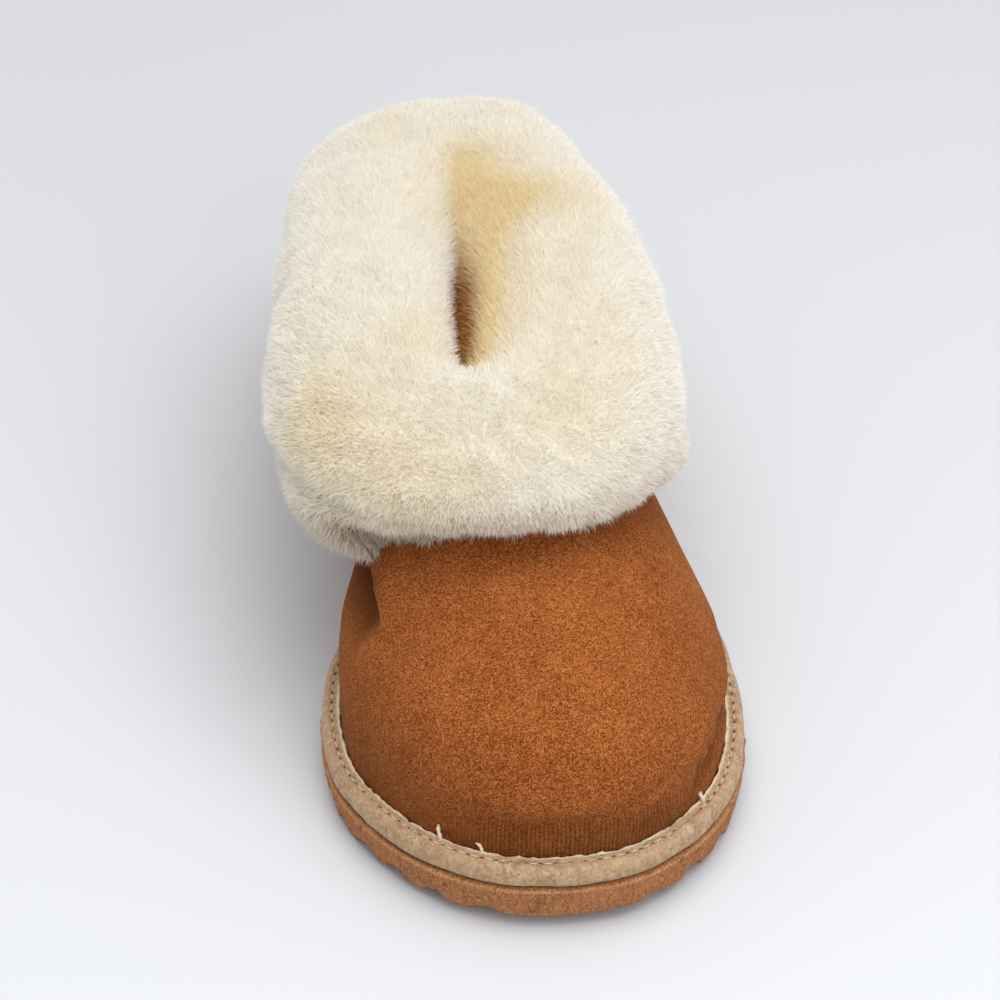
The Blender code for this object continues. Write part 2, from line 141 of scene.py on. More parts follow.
CUFF_RINGS = (
    # the same columns as the upper's rings
    ("swell", (-6.0, -72.5, 82.0, -1.0, 129.0, 56.0, 51.5, 60.0, 61.0, 0.42)),
    ("belly", (-7.0, -71.5, 92.0, -1.0, 129.5, 67.0, 53.0, 62.5, 75.0, 0.48)),
    ("shoulder", (-8.0, -62.0, 101.0, -1.0, 122.0, 78.5, 48.5, 57.5, 90.0, 0.58)),
    ("crown", (-10.0, -47.0, 107.0, 0.0, 106.5, 86.5, 38.5, 45.0, 101.0, 0.74)),
    ("crown inside", (-13.0, -42.0, 106.5, -2.0, 90.0, 89.0, 22.0, 22.0, 104.5, 0.88)),
    ("slit lip", (-15.5, -38.5, 100.5, -8.0, 42.0, 89.0, 4.6, 3.0, 98.5, 0.94)),
    ("slit wall", (-17.4, -34.0, 88.0, -9.5, 34.0, 79.0, 2.8, 3.2, 87.0, 0.94)),
    ("lining", (-12.0, -23.0, 74.0, -3.0, 84.0, 62.0, 12.0, 12.0, 70.0, 0.92)),
)


# %% Smooth curves through table rows
OUTLINE_STEPS = 12000


def catmull(values, places, closed):
    """Read a smooth curve through the rows of values at fractional row numbers."""
    rows = np.asarray(values, float)
    count = len(rows)
    places = np.asarray(places, float)
    start = np.floor(places).astype(int)
    if not closed:
        start = np.clip(start, 0, count - 2)
        rows = np.vstack([2 * rows[:1] - rows[1:2], rows, 2 * rows[-1:] - rows[-2:-1]])
        before, here, after, beyond = (rows[start + step] for step in range(4))
    else:
        before, here, after, beyond = (rows[(start + step) % count] for step in (-1, 0, 1, 2))
    blend = (places - start).reshape((-1,) + (1,) * (rows.ndim - 1))
    return 0.5 * (
        2 * here
        + (after - before) * blend
        + (2 * before - 5 * here + 4 * after - beyond) * blend**2
        + (3 * here - before - 3 * after + beyond) * blend**3
    )


def curve_through(values, count):
    """A smooth open curve through rows of values, read at a count of even steps."""
    return catmull(values, np.linspace(0, len(values) - 1, count), False)


def along_side(points, fractions):
    """Points at the given fractions of the length of an open line."""
    travelled = np.concatenate([[0.0], np.cumsum(np.linalg.norm(np.diff(points, axis=0), axis=1))])
    return np.stack([np.interp(fractions, travelled / travelled[-1], line) for line in points.T], 1)


def outline_at(fractions):
    """Plan points at fractions from toe to heel, down the outer side and back up the inner side."""
    places = np.linspace(0, len(OUTLINE), OUTLINE_STEPS, endpoint=False)
    dense = catmull([(x, y) for name, x, y in OUTLINE], places, True)
    dense = np.roll(dense, -int(np.argmin(dense[:, 1])), axis=0)
    heel = int(np.argmax(dense[:, 1]))
    outer = along_side(dense[: heel + 1], fractions)
    inner = along_side(np.vstack([dense[heel:], dense[:1]])[::-1], fractions)
    return np.vstack([outer, inner[1:-1][::-1]])


def inset(plan, distance):
    """Move a closed counter-clockwise plan line inwards by a distance."""
    forward = np.roll(plan, -1, axis=0) - np.roll(plan, 1, axis=0)
    forward /= np.linalg.norm(forward, axis=1)[:, None]
    return plan + np.stack([-forward[:, 1], forward[:, 0]], 1) * distance


def lift(y):
    """Toe spring: how far the sole plane has risen at a place along the shoe."""
    reach = np.clip((SPRING_START_Y - y) / (SPRING_START_Y - TOE_Y), 0.0, None)
    return TOE_SPRING * reach**2


# %% Rings of a last, at any number of columns
class Last:
    """The plan of the slipper read at chosen fractions of each side, and the rings that follow it."""

    def __init__(self, fractions):
        self.fractions = np.asarray(fractions)
        self.plan = outline_at(self.fractions)
        self.feather = inset(self.plan, FEATHER_INSET)
        x, y = self.feather.T
        self.foot_x = np.where(x > 0, x / x.max(), x / -x.min())
        self.foot_y = (y - y.min()) / np.ptp(y)
        turn = np.concatenate([self.fractions, 2.0 - self.fractions[1:-1][::-1]])
        self.side_place = np.minimum(turn, 2.0 - turn)
        self.outer_side = turn <= 1.0
        self.oval_x = np.sin(turn * math.pi)
        self.oval_y = (1.0 - np.cos(turn * math.pi)) / 2.0
        steps = np.linalg.norm(np.diff(self.plan, axis=0, append=self.plan[:1]), axis=1)
        self.travelled = np.concatenate([[0.0], np.cumsum(steps)[:-1]])
        self.girth = float(steps.sum())
        self.from_toe = np.minimum(self.travelled, self.girth - self.travelled)

    def ring(self, row):
        """One closed ring of points from a table row."""
        front_x, front_y, front_z, back_x, back_y, back_z, outer, inner, side_z, oval = row
        x = (1 - oval) * self.foot_x + oval * self.oval_x
        along = (1 - oval) * self.foot_y + oval * self.oval_y
        bend = 2 * side_z - (front_z + back_z) / 2
        z = (1 - along) ** 2 * front_z + 2 * along * (1 - along) * bend + along**2 * back_z
        x = np.where(x > 0, x * outer, x * inner) + (1 - along) * front_x + along * back_x
        return np.stack([x, front_y + along * (back_y - front_y), z], 1)

    def feather_row(self, z):
        """Table row of a flat ring that follows the feather edge at a height."""
        low, high = self.feather.min(axis=0), self.feather.max(axis=0)
        return (0.0, low[1], z, 0.0, high[1], z, high[0], -low[0], z, 0.0)

    def profile(self, rows):
        """Rings that follow the plan at each inset and height of a profile."""
        lines = [(inset(self.plan, distance), z) for distance, z in rows]
        return np.array([np.column_stack([line, np.full(len(line), z)]) for line, z in lines])


def graded(*spans):
    """Steps up a ladder of rings: the start, end and count of each span, with shared ends kept once."""
    lower = [np.linspace(*span)[:-1] for span in spans[:-1]]
    return np.concatenate([*lower, np.linspace(*spans[-1])])


def upper_surface(last, levels):
    """Rings of the upper at levels of its ladder, from the feather edge to the collar."""
    feet = [last.feather_row(FEATHER_Z), last.feather_row(LIP_TOP + 1.0)]
    table = feet + [row for name, row in UPPER_RINGS]
    return np.array([last.ring(row) for row in catmull(table, levels, False)])


# %% Measures on a grid of rings
WAVE_COUNT = 14
WAVE_SPREAD = (0.6, 1.3)
WAVE_SUM = 5.5
CREASE_STEPS = 40
CREASE_END = 0.02


def axes(grid):
    """The x, y and z of every point."""
    return grid[..., 0], grid[..., 1], grid[..., 2]


def grid_normals(grid):
    """Outward directions on a grid of rings that run toe, outer side, heel, inner side."""
    around = np.roll(grid, -1, axis=1) - np.roll(grid, 1, axis=1)
    normal = np.cross(around, np.gradient(grid, axis=0))
    return normal / np.linalg.norm(normal, axis=2)[:, :, None]


def smooth(low, high, value):
    """0 below low and 1 above high, with a soft bend between them."""
    t = np.clip((value - low) / (high - low), 0.0, 1.0)
    return t * t * (3 - 2 * t)


def swell(grid, size, seed):
    """Soft random hills of about the given size, from about -1 to 1, as a height for each point."""
    chance = np.random.default_rng(seed)
    waves = chance.normal(size=(WAVE_COUNT, 3))
    reach = np.linalg.norm(waves, axis=1)
    waves *= (2 * math.pi / size / reach * chance.uniform(*WAVE_SPREAD, WAVE_COUNT))[:, None]
    phases = chance.uniform(0, 2 * math.pi, WAVE_COUNT)
    return np.sin(grid @ waves.T + phases).sum(axis=-1) / WAVE_SUM


def nearness(grid, centre, reach):
    """1 at a centre and soft towards 0 around it, for each point."""
    away = np.linalg.norm(grid - np.array(centre), axis=2)
    return np.exp(-((away / reach) ** 2))


def crease(grid, places, width, depth):
    """Depth of a soft trough that follows a line of places and fades at both ends."""
    line = curve_through(places, CREASE_STEPS)
    near = np.full(grid.shape[:2], np.inf)
    share = np.zeros(grid.shape[:2])
    for step, place in enumerate(line):
        distance = np.linalg.norm(grid - place, axis=2)
        share = np.where(distance < near, step / (len(line) - 1), share)
        near = np.minimum(near, distance)
    fade = np.sin(math.pi * np.clip(share, CREASE_END, 1 - CREASE_END)) ** 0.5
    return depth * np.exp(-((near / width) ** 2)) * fade


# %% Meshes from rings, and pieces from meshes
def ring_mesh(name, rings, closed_section=False, caps=False):
    """A smooth mesh through closed rings of equal count, in metres, with the toe spring added."""
    rings = np.array(rings, float)
    rings[..., 2] += lift(rings[..., 1])
    rows, count = rings.shape[:2]
    last = rows if closed_section else rows - 1
    low = np.arange(last)[:, None] * count
    high = (np.arange(last)[:, None] + 1) % rows * count
    here = np.arange(count)[None, :]
    ahead = (here + 1) % count
    quads = np.stack([low + here, low + ahead, high + ahead, high + here], 2).reshape(-1, 4).tolist()
    if caps:
        quads += [list(range(count))[::-1], list(range((rows - 1) * count, rows * count))]
    mesh = bpy.data.meshes.new(name)
    mesh.from_pydata((rings.reshape(-1, 3) * MM).tolist(), [], quads)
    mesh.shade_smooth()
    return mesh


def new_object(name, mesh, *materials):
    """Link a mesh to the scene with its materials."""
    thing = bpy.data.objects.new(name, mesh)
    bpy.context.scene.collection.objects.link(thing)
    for material in materials:
        mesh.materials.append(material)
    return thing


def as_piece(thing, slot, *nodes):
    """Say what a finished piece rides on, and the solids that it stands for; slot is not used."""
    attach(thing, BODY)
    if nodes:
        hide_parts(*nodes)
    triangles = sum(len(face.vertices) - 2 for face in thing.data.polygons)
    print(f"{thing.name}: {triangles} triangles")
    return thing


def mark(mesh, name, values):
    """Store one number for each point of a mesh."""
    mesh.attributes.new(name, "FLOAT", "POINT").data.foreach_set("value", np.ravel(values).astype(np.float32))


# %% [markdown]
# A finish is a node tree. Written as sums in Python it stays readable, so a small class wraps a socket:
# adding or multiplying two of them adds a Math node. Any other node comes from its node method.

# %% Node sums in Python
class Wire:
    """A socket of a node tree that can be used in sums, and from which any other node is reached."""

    def __init__(self, tree, socket=None):
        self.tree = tree
        self.socket = socket

    def node(self, kind, settings=None, inputs=None, output=0):
        """Add a node: its settings first, then the value or link of each socket."""
        added = self.tree.nodes.new(kind)
        for name, value in (settings or {}).items():
            setattr(added, name, value)
        for name, value in (inputs or {}).items():
            self.feed(added.inputs[name], value)
        return Wire(self.tree, added.outputs[output])

    def feed(self, target, value):
        """Link a wire to a socket, or set its value."""
        if isinstance(value, Wire):
            self.tree.links.new(value.socket, target)
        else:
            target.default_value = value

    def sum(self, operation, left, right):
        """One Math node with two inputs."""
        return self.node("ShaderNodeMath", {"operation": operation}, {0: left, 1: right})

    def __add__(self, other):
        return self.sum("ADD", self, other)

    def __sub__(self, other):
        return self.sum("SUBTRACT", self, other)

    def __rsub__(self, other):
        return self.sum("SUBTRACT", other, self)

    def __mul__(self, other):
        return self.sum("MULTIPLY", self, other)

    __radd__ = __add__
    __rmul__ = __mul__

    def sine(self):
        return self.node("ShaderNodeMath", {"operation": "SINE"}, {0: self})

    def vector(self, operation, other):
        """Sum of two vectors, or with SCALE a vector times a number."""
        where = "Scale" if operation == "SCALE" else 1
        return self.node("ShaderNodeVectorMath", {"operation": operation}, {0: self, where: other})

    def between(self, low, high):
        """0 below low, 1 above high."""
        fit = {"Value": self, "From Min": low, "From Max": high}
        return self.node("ShaderNodeMapRange", {"clamp": True}, fit)

    def mix(self, first, second):
        """Blend from the first colour to the second: inputs 6 and 7 of a Mix node, and output 2."""
        return self.node("ShaderNodeMix", {"data_type": "RGBA"}, {0: self, 6: first, 7: second}, 2)

    def noise(self, size, detail=2.0, distortion=0.0, stretch=(1, 1, 1)):
        """Noise on the piece's own coordinates, with features of a size in millimetres."""
        place = self.node("ShaderNodeTexCoord", output="Object")
        if stretch != (1, 1, 1):
            place = self.node("ShaderNodeMapping", None, {"Vector": place, "Scale": stretch})
        look = {"Vector": place, "Scale": 1 / (size * MM), "Detail": detail, "Distortion": distortion}
        return self.node("ShaderNodeTexNoise", None, look)

    def attribute(self, name):
        """A number stored on the points of the piece."""
        return self.node("ShaderNodeAttribute", {"attribute_name": name}, output="Fac")


def colour(red, green, blue):
    """A full colour from its linear red, green and blue."""
    return (red, green, blue, 1.0)


def finish_of(name, roughness, paint, **constants):
    """A material: paint gives its colour and bump wires, and the rest are constants of the shader."""
    material = bpy.data.materials.new(name)
    material.use_nodes = True
    shader = material.node_tree.nodes["Principled BSDF"]
    shader.inputs["Roughness"].default_value = roughness
    for socket, value in constants.items():
        shader.inputs[socket.replace("_", " ")].default_value = value
    wire = Wire(material.node_tree)
    base, height, depth = paint(wire)
    wire.feed(shader.inputs["Base Color"], base)
    if height is not None:
        bump = wire.node("ShaderNodeBump", None, {"Height": height, "Distance": depth * MM})
        wire.feed(shader.inputs["Normal"], bump)
    return material


# %% [markdown]
# Suede is the flesh side of the hide, brushed up. Its nap lies in short curled strokes about a millimetre
# long, some catching the light and some dark, over soft patches where a hand has turned it. Four noises of
# different size do this. Painted shade darkens the troughs of the gathered band, the folds, the pocket, the
# foot of the upper and its inner side.

# %% Chestnut suede
SUEDE = colour(0.292, 0.081, 0.0165)
SUEDE_DARK = colour(0.130, 0.029, 0.0045)
SUEDE_LIGHT = colour(0.50, 0.170, 0.052)
SUEDE_PAINTED_SHADE = colour(0.080, 0.017, 0.0036)
RIB_PITCH = 1.2
NAP_CENTRE = 0.115
DARK_NAP = (0.405, 0.515)
LIGHT_NAP = (0.505, 0.605)


def paint_suede(wire):
    """Short strokes and grain over turned patches, with ribs on the band, and painted shade in the rib
    troughs and the marked places.
    """
    strokes = wire.noise(0.66, 3.0, 1.4)
    grain = wire.noise(0.36, 2.0, 0.6)
    turned = wire.noise(9.0, 3.0, 0.6)
    broad = wire.noise(38.0, 1.0)
    nap = strokes * 0.54 + grain * 0.52 + turned * 0.09 + broad * 0.08 - NAP_CENTRE
    base = nap.between(*DARK_NAP).mix(SUEDE_DARK, SUEDE)
    base = (nap.between(*LIGHT_NAP) * 0.9).mix(base, SUEDE_LIGHT)
    ribs = (wire.attribute("around") * (2 * math.pi / RIB_PITCH) + turned * 3.0).sine() * 0.5 + 0.5
    band = wire.attribute("band")
    # Painted shade: the troughs of the ribs, and the places marked as shade on the upper, go towards a dark
    # brown.
    base = (band * (1 - ribs) * 0.50).mix(base, SUEDE_PAINTED_SHADE)
    base = (wire.attribute("shade") * 0.8).mix(base, SUEDE_PAINTED_SHADE)
    return base, strokes * 0.6 + grain * 0.5 + band * ribs * 1.1, 0.34


suede = finish_of("chestnut_suede", 0.92, paint_suede, Sheen_Weight=0.10, Sheen_Roughness=0.5,
                  Sheen_Tint=colour(0.95, 0.52, 0.22), Specular_IOR_Level=0.06)


# %% [markdown]
# The wool itself is cream. It is whitest at the tips, deepens to straw yellow in the valleys and on the outer
# wall of the slit, has painted shade along the hem, grey over the wool and dark at the roots, and is brown
# down in the slit.
# Each fibre carries a number from root to tip, and the pelt hands it the tint of the place where it grows.
# Light wanders through pale wool, so its shader is mixed with a translucent one.

# %% Wool and pelt
WOOL_TIP = colour(0.98, 0.967, 0.935)
WOOL_ROOT = colour(0.965, 0.925, 0.84)
WOOL_STRAW = colour(0.90, 0.73, 0.38)
WOOL_GREY = colour(0.73, 0.62, 0.47)
WOOL_SHADE = colour(0.27, 0.185, 0.105)
SLIT_BROWN = colour(0.38, 0.140, 0.014)


def wool_colour(wire, tip):
    """Cream from root to tip, taken towards straw, towards a grey of painted shade near the hem, and towards
    brown, by the marks of the place.
    """
    base = tip.mix(WOOL_ROOT, WOOL_TIP)
    base = wire.attribute("straw").mix(base, WOOL_STRAW)
    base = wire.attribute("grey").mix(base, WOOL_GREY)
    return wire.attribute("brown").mix(base, SLIT_BROWN)


def paint_fibre(wire):
    """The wool's colour along one blade, with painted shade at the root near the hem."""
    tip = wire.attribute("tip") * 0.65 + wire.attribute("fleck") * 0.2 + 0.2
    root = wire.attribute("hem") * (1 - wire.attribute("tip") * 0.75 - wire.attribute("fleck") * 0.5)
    base = (root.between(0.0, 0.9) * 0.80).mix(wool_colour(wire, tip.between(0.0, 1.0)), WOOL_SHADE)
    return base, None, 0.0


def paint_pelt(wire):
    """The skin under the fibres, curled like the wool and darkened by painted shade near the hem."""
    curls = wire.noise(1.3, 4.0, 1.2)
    base = wool_colour(wire, curls.between(0.35, 0.75) * 0.6)
    return (wire.attribute("hem") * 0.85).mix(base, WOOL_SHADE), curls, 1.2


WOOL_SHEEN = {"Sheen_Weight": 0.14, "Sheen_Roughness": 0.6, "Specular_IOR_Level": 0.1}
SHINE_THROUGH = 0.48
BROWN_BLOCKS = 0.95


def let_light_through(material, share, tint):
    """Mix some translucency into a finish: much for pale fibres, and almost none for brown ones."""
    tree = material.node_tree
    through = tree.nodes.new("ShaderNodeBsdfTranslucent")
    through.inputs["Color"].default_value = tint
    both = tree.nodes.new("ShaderNodeMixShader")
    wire = Wire(tree)
    wire.feed(both.inputs[0], share * (1 - wire.attribute("brown") * BROWN_BLOCKS))
    tree.links.new(tree.nodes["Principled BSDF"].outputs[0], both.inputs[1])
    tree.links.new(through.outputs[0], both.inputs[2])
    tree.links.new(both.outputs[0], tree.nodes["Material Output"].inputs["Surface"])


fibre_finish = finish_of("wool_fibre", 0.95, paint_fibre, **WOOL_SHEEN)
let_light_through(fibre_finish, SHINE_THROUGH, colour(0.98, 0.955, 0.90))
pelt_finish = finish_of("wool_pelt", 1.0, paint_pelt, **WOOL_SHEEN)

# %% [markdown]
# The midsole is wrapped in a paler split suede with a short dry nap, with painted shade towards its
# underside. The foam-rubber outsole was cut, so its sides are scored by fine upright strokes with small pits,
# and a painted highlight runs along its top rim. Thread and the holes that it pulls through the lip get plain
# finishes with a little fibre in them; the dark of the holes is painted shade.

# %% Beige wrap, foam rubber, thread and holes
WRAP = colour(0.435, 0.282, 0.158)
WRAP_DARK = colour(0.295, 0.172, 0.086)
WRAP_LIGHT = colour(0.60, 0.415, 0.255)
RAW_SUEDE = colour(0.86, 0.70, 0.50)
RUBBER = colour(0.375, 0.146, 0.050)
RUBBER_LIGHT = colour(0.60, 0.32, 0.150)
RUBBER_DARK = colour(0.235, 0.080, 0.026)
THREAD_DARK = colour(0.66, 0.52, 0.36)
THREAD_LIGHT = colour(0.88, 0.78, 0.62)
HOLE_DARK = colour(0.10, 0.05, 0.025)
HOLE_LIGHT = colour(0.19, 0.11, 0.06)


def paint_wrap(wire):
    """A dry nap drawn along the strip, with pale frayed suede at the raw edge and painted shade towards the
    bottom.
    """
    nap = wire.noise(0.9, 4.0, 1.0)
    drawn = wire.noise(2.6, 3.0, 0.5, (1.0, 1.0, 0.4))
    patches = wire.noise(14.0, 2.0)
    base = (nap * 0.5 + drawn * 0.3 + patches * 0.2).between(0.36, 0.52).mix(WRAP_DARK, WRAP)
    base = (nap * 0.6 + drawn * 0.4).between(0.48, 0.68).mix(base, WRAP_LIGHT)
    base = (wire.attribute("raw") * nap.between(0.25, 0.45)).mix(base, RAW_SUEDE)
    return wire.attribute("shade").mix(base, WRAP_DARK), nap, 0.26


def paint_rubber(wire):
    """Upright strokes from the cut, pale flecks, small dark pits and a painted highlight along the top rim.
    """
    strokes = wire.noise(0.8, 4.0, 0.3, (1.0, 1.0, 0.14))
    grain = wire.noise(0.55, 3.0)
    patches = wire.noise(12.0, 3.0)
    pits = wire.noise(2.2, 1.0, 0.4).between(0.70, 0.74)
    flecks = wire.noise(1.4, 2.0, 0.8).between(0.60, 0.70)
    base = (strokes * 0.45 + grain * 0.3 + patches * 0.25).between(0.38, 0.53).mix(RUBBER_DARK, RUBBER)
    base = (grain.between(0.5, 0.7) * 0.55).mix(base, RUBBER_LIGHT)
    base = (flecks * 0.6).mix(base, RUBBER_LIGHT)
    base = (pits * 0.8).mix(base, RUBBER_DARK)
    # Painted highlight along the top rim of the outsole.
    base = (wire.attribute("edge") * grain.between(0.3, 0.6) * 0.5).mix(base, RUBBER_LIGHT)
    return base, strokes * 0.8 + grain * 0.4 - pits, 0.5


def paint_thread(wire):
    """Twisted cream yarn."""
    twist = wire.noise(0.35, 2.0)
    return twist.between(0.3, 0.7).mix(THREAD_DARK, THREAD_LIGHT), twist, 0.1


def paint_hole_shade(wire):
    """Painted shade: the dark inside a hole that a needle left."""
    grain = wire.noise(0.4, 2.0)
    return grain.mix(HOLE_DARK, HOLE_LIGHT), None, 0.0


wrap = finish_of("beige_wrap_suede", 0.92, paint_wrap, Sheen_Weight=0.15, Specular_IOR_Level=0.15)
rubber = finish_of("tan_foam_rubber", 0.86, paint_rubber, Specular_IOR_Level=0.25)
thread = finish_of("cream_thread", 0.8, paint_thread)
hole = finish_of("needle_hole_shade", 1.0, paint_hole_shade)
print("finishes:", [material.name for material in bpy.data.materials])

# %% [markdown]
# The camera looks down on the toe, and the slipper stands on a pale studio floor. One big soft light hangs
# above it and a little in front, a weaker one stands at the front right, and the room lights the shadows.

# %% Camera
ELEVATION = math.radians(37.0)
YAW = math.radians(4.5)
AIM = Vector((-47.1, 37.5, 60.0)) * MM
DISTANCE = 1.2
LENS = 160.0
FAR_CLIP = 20.0
CENTRE = Vector((-3.0, -18.0, 46.0)) * MM


def put_facing(thing, place):
    """Put a camera or lamp at a place in metres and turn it to the slipper, as it looks down its own -Z."""
    bpy.context.scene.collection.objects.link(thing)
    thing.location = place
    thing.rotation_euler = (CENTRE - thing.location).to_track_quat("-Z", "Y").to_euler()


level_reach = math.cos(ELEVATION)
forward = Vector((math.sin(YAW) * level_reach, math.cos(YAW) * level_reach, -math.sin(ELEVATION)))
camera = bpy.data.objects.new("camera", bpy.data.cameras.new("camera"))
put_facing(camera, AIM - forward * DISTANCE)
camera.data.lens = LENS
camera.data.clip_end = FAR_CLIP
bpy.context.scene.camera = camera
print("camera in mm:", [round(v / MM) for v in camera.location])

# %% Floor
FLOOR_SIZE = 8.0
FLOOR_NEAR = colour(0.685, 0.70, 0.73)
FLOOR_FAR = colour(0.50, 0.497, 0.495)
FLOOR_FADE = (-0.25, 0.65)


def paint_floor(wire):
    """Pale paper with painted shade that deepens towards the back of the studio, between two places in
    metres.
    """
    place = wire.node("ShaderNodeTexCoord", output="Object")
    y = wire.node("ShaderNodeSeparateXYZ", None, {0: place}, "Y")
    return y.between(*FLOOR_FADE).mix(FLOOR_NEAR, FLOOR_FAR), None, 0.0


bpy.ops.mesh.primitive_plane_add(size=FLOOR_SIZE)
floor = bpy.context.object
floor.name = "floor"
floor.data.materials.append(finish_of("studio_floor", 0.9, paint_floor, Specular_IOR_Level=0.2))


# %% Light
SOFT_LIGHTS = (
    # name, place in metres, side in metres, power in watts
    ("overhead_box", (0.12, -0.22, 1.5), 1.4, 18.5),
    ("front_right_box", (0.5, -1.2, 0.9), 0.8, 4.5),
)
ROOM_COLOUR = colour(0.96, 0.975, 1.0)
ROOM_STRENGTH = 0.655

for name, place, size, power in SOFT_LIGHTS:
    lamp = bpy.data.lights.new(name, "AREA")
    lamp.shape = "SQUARE"
    lamp.size = size
    lamp.energy = power
    put_facing(bpy.data.objects.new(name, lamp), Vector(place))
world = bpy.data.worlds.new("studio")
world.use_nodes = True
room = world.node_tree.nodes["Background"].inputs
room["Color"].default_value = ROOM_COLOUR
room["Strength"].default_value = ROOM_STRENGTH
bpy.context.scene.world = world
bpy.context.scene.view_settings.view_transform = "Standard"

# %% [markdown]
# The upper is one wall of suede. It is lofted through the ladder of rings, with many columns at the toe,
# where it is gathered into the sole, and few at the heel. Then it is worked: the vamp stands one
# step proud of the quarters at each side seam, the toe puffs out over the gathered band, and the leather
# puckers at the outer ball where it was pulled over the last. On the inner side, under the corner of the
# fleece, it folds in to a deep pocket, so both faces of the wall are sunk there.

# %% Columns and rows of the upper
SEAM_PLACE = 10 / 26
SEAM_WIDTH = 0.004
SEAM_STEP = 0.9
SEAM_LEAD = 0.001
SEAM_COLUMNS = 12
CLOSE_FROM, CLOSE_TO = 0.004, 0.010
FRONT_STOP = 0.006
BACK_START = 0.013
BACK_SPREAD = 1.15


def fine_fractions(count, front_share):
    """Places from toe to heel: front_share of the columns before the seam, and a close group at the seam."""
    front = np.linspace(0.0, SEAM_PLACE - FRONT_STOP, int(count * front_share))
    close = np.linspace(SEAM_PLACE - CLOSE_FROM, SEAM_PLACE + CLOSE_TO, SEAM_COLUMNS)
    spread = np.linspace(0, 1, count - len(front) - SEAM_COLUMNS) ** BACK_SPREAD
    back = SEAM_PLACE + BACK_START + (1.0 - SEAM_PLACE - BACK_START) * spread
    return np.concatenate([front, close, back])


last = Last(fine_fractions(270, 0.62))
levels = graded((0.0, 1.0, 4), (1.0, 3.2, 52), (3.2, 7.2, 64), (7.2, 10.0, 9))
upper_base = upper_surface(last, levels)
print("upper grid:", upper_base.shape)

# %% Seam step, gathers and creases
CREASES = (
    # name, width, depth, places of the line (x, y, z)
    ("over the band", 2.6, 1.0, ((-37, -110, 31), (-26, -120.4, 31), (-13, -126.7, 29), (0, -128.9, 29.2),
                                 (13, -128, 32), (24, -121, 33), (33, -112, 31))),
    ("outer pocket", 3.4, 2.6, ((49.8, -62, 22), (48.4, -76, 24), (45.5, -88, 27), (43.6, -97, 29),
                                (41.8, -102.5, 26.5), (39, -107, 26), (36.3, -111, 23.5), (33, -114, 20.5))),
    ("outer pleat back", 1.5, 1.5, ((42.0, -97.5, 35), (43.0, -99, 30), (43.2, -100, 24))),
    ("outer pleat", 1.5, 1.8, ((38.4, -105.5, 34), (39.6, -106, 29), (39.8, -106.5, 23))),
    ("outer pleat front", 1.5, 1.4, ((34.8, -110.8, 32), (35.4, -111.6, 27), (35.0, -112.6, 22))),
    ("outer brow", 2.6, -1.1, ((42, -94, 38.5), (40.2, -100, 37.5), (37.8, -105.5, 36.5), (34.5, -110, 35),
                               (31, -114, 32))),
    ("inner waist", 8.0, 3.4, ((-45, -24, 66), (-45.5, -38, 62), (-45.5, -50, 58), (-45, -60, 55))),
    ("inner fold edge", 3.0, -1.3, ((-39.0, -40, 60), (-38.6, -50, 58), (-37.8, -60, 57), (-37.2, -72, 55))),
    ("inner fold below", 4.5, 0.8, ((-47, -80, 42), (-47.5, -90, 34), (-44, -102, 30))),
    ("vamp sag", 9.0, 1.0, ((-24, -70, 66), (-4, -76, 66), (18, -74, 64))),
    ("vamp dent", 7.0, 0.8, ((8, -92, 60), (20, -96, 57), (27, -104, 50))),
    ("vamp swell", 10.0, -0.8, ((-22, -96, 57), (-6, -104, 57), (10, -110, 54))),
)
BAND_PITCH = 4.1
BAND_RIB = 0.22
BAND_END = (0.20, 0.32)
BAND_FOOT = (0.9, 1.3)
BAND_TOP = (2.1, 2.9)

level = levels[:, None]
side_share = last.side_place[None, :]
seam_start = SEAM_PLACE - SEAM_LEAD
proud = 1 - smooth(seam_start, seam_start + SEAM_WIDTH, side_share)
height = SEAM_STEP * proud * smooth(0.8, 1.9, level)
turns = 2 * math.pi * last.from_toe / BAND_PITCH + 1.3 * np.sin(last.from_toe / 7.0)
ribs = np.sin(turns) * (0.75 + 0.25 * np.sin(last.travelled / 5.3 + 1.0))
ribs = BAND_RIB * ribs * (1 - smooth(*BAND_END, side_share))
height = height + ribs * smooth(*BAND_FOOT, level) * (1 - smooth(*BAND_TOP, level))
for name, width, depth, places in CREASES:
    height = height - crease(upper_base, places, width, depth)

# %% The pocket behind the inner fold
POCKET_X, POCKET_Y = -41.2, -47.0
POCKET_SLANT = 0.075
POCKET_LIP = 2.0
POCKET_DEPTH = 4.6
POCKET_FRONT = (-75.0, -60.0)
POCKET_BACK = (-20.0, 0.0)
POCKET_FOOT = (36.0, 50.0)

across, along, up = axes(upper_base)
lip_x = POCKET_X + POCKET_SLANT * (POCKET_Y - along)
pocket = smooth(0.0, POCKET_LIP, lip_x - across)
pocket = pocket * smooth(*POCKET_FRONT, along) * (1 - smooth(*POCKET_BACK, along))
pocket = pocket * smooth(*POCKET_FOOT, up)
height = height - POCKET_DEPTH * pocket

# %% Both faces of the wall
INNER_ROWS = 16

height = height + 0.45 * swell(upper_base, 42.0, 5) * smooth(1.5, 3.0, level)
height = height + 0.14 * swell(upper_base, 11.0, 6) * smooth(1.0, 2.0, level)
normals = grid_normals(upper_base)
outer_wall = upper_base + normals * height[:, :, None]
inner_rows = np.linspace(len(levels) - 1, 0, INNER_ROWS).round().astype(int)
wall_depth = UPPER_WALL + POCKET_DEPTH * pocket[inner_rows]
inner_wall = upper_base[inner_rows] - normals[inner_rows] * wall_depth[:, :, None]
upper_mesh = ring_mesh("upper_suede", np.concatenate([outer_wall, inner_wall]), closed_section=True)

# %% Shade and ribs marked on the suede
FOLD_WIDTH = 5.0
FOLD_LEAST_DEPTH = 1.3
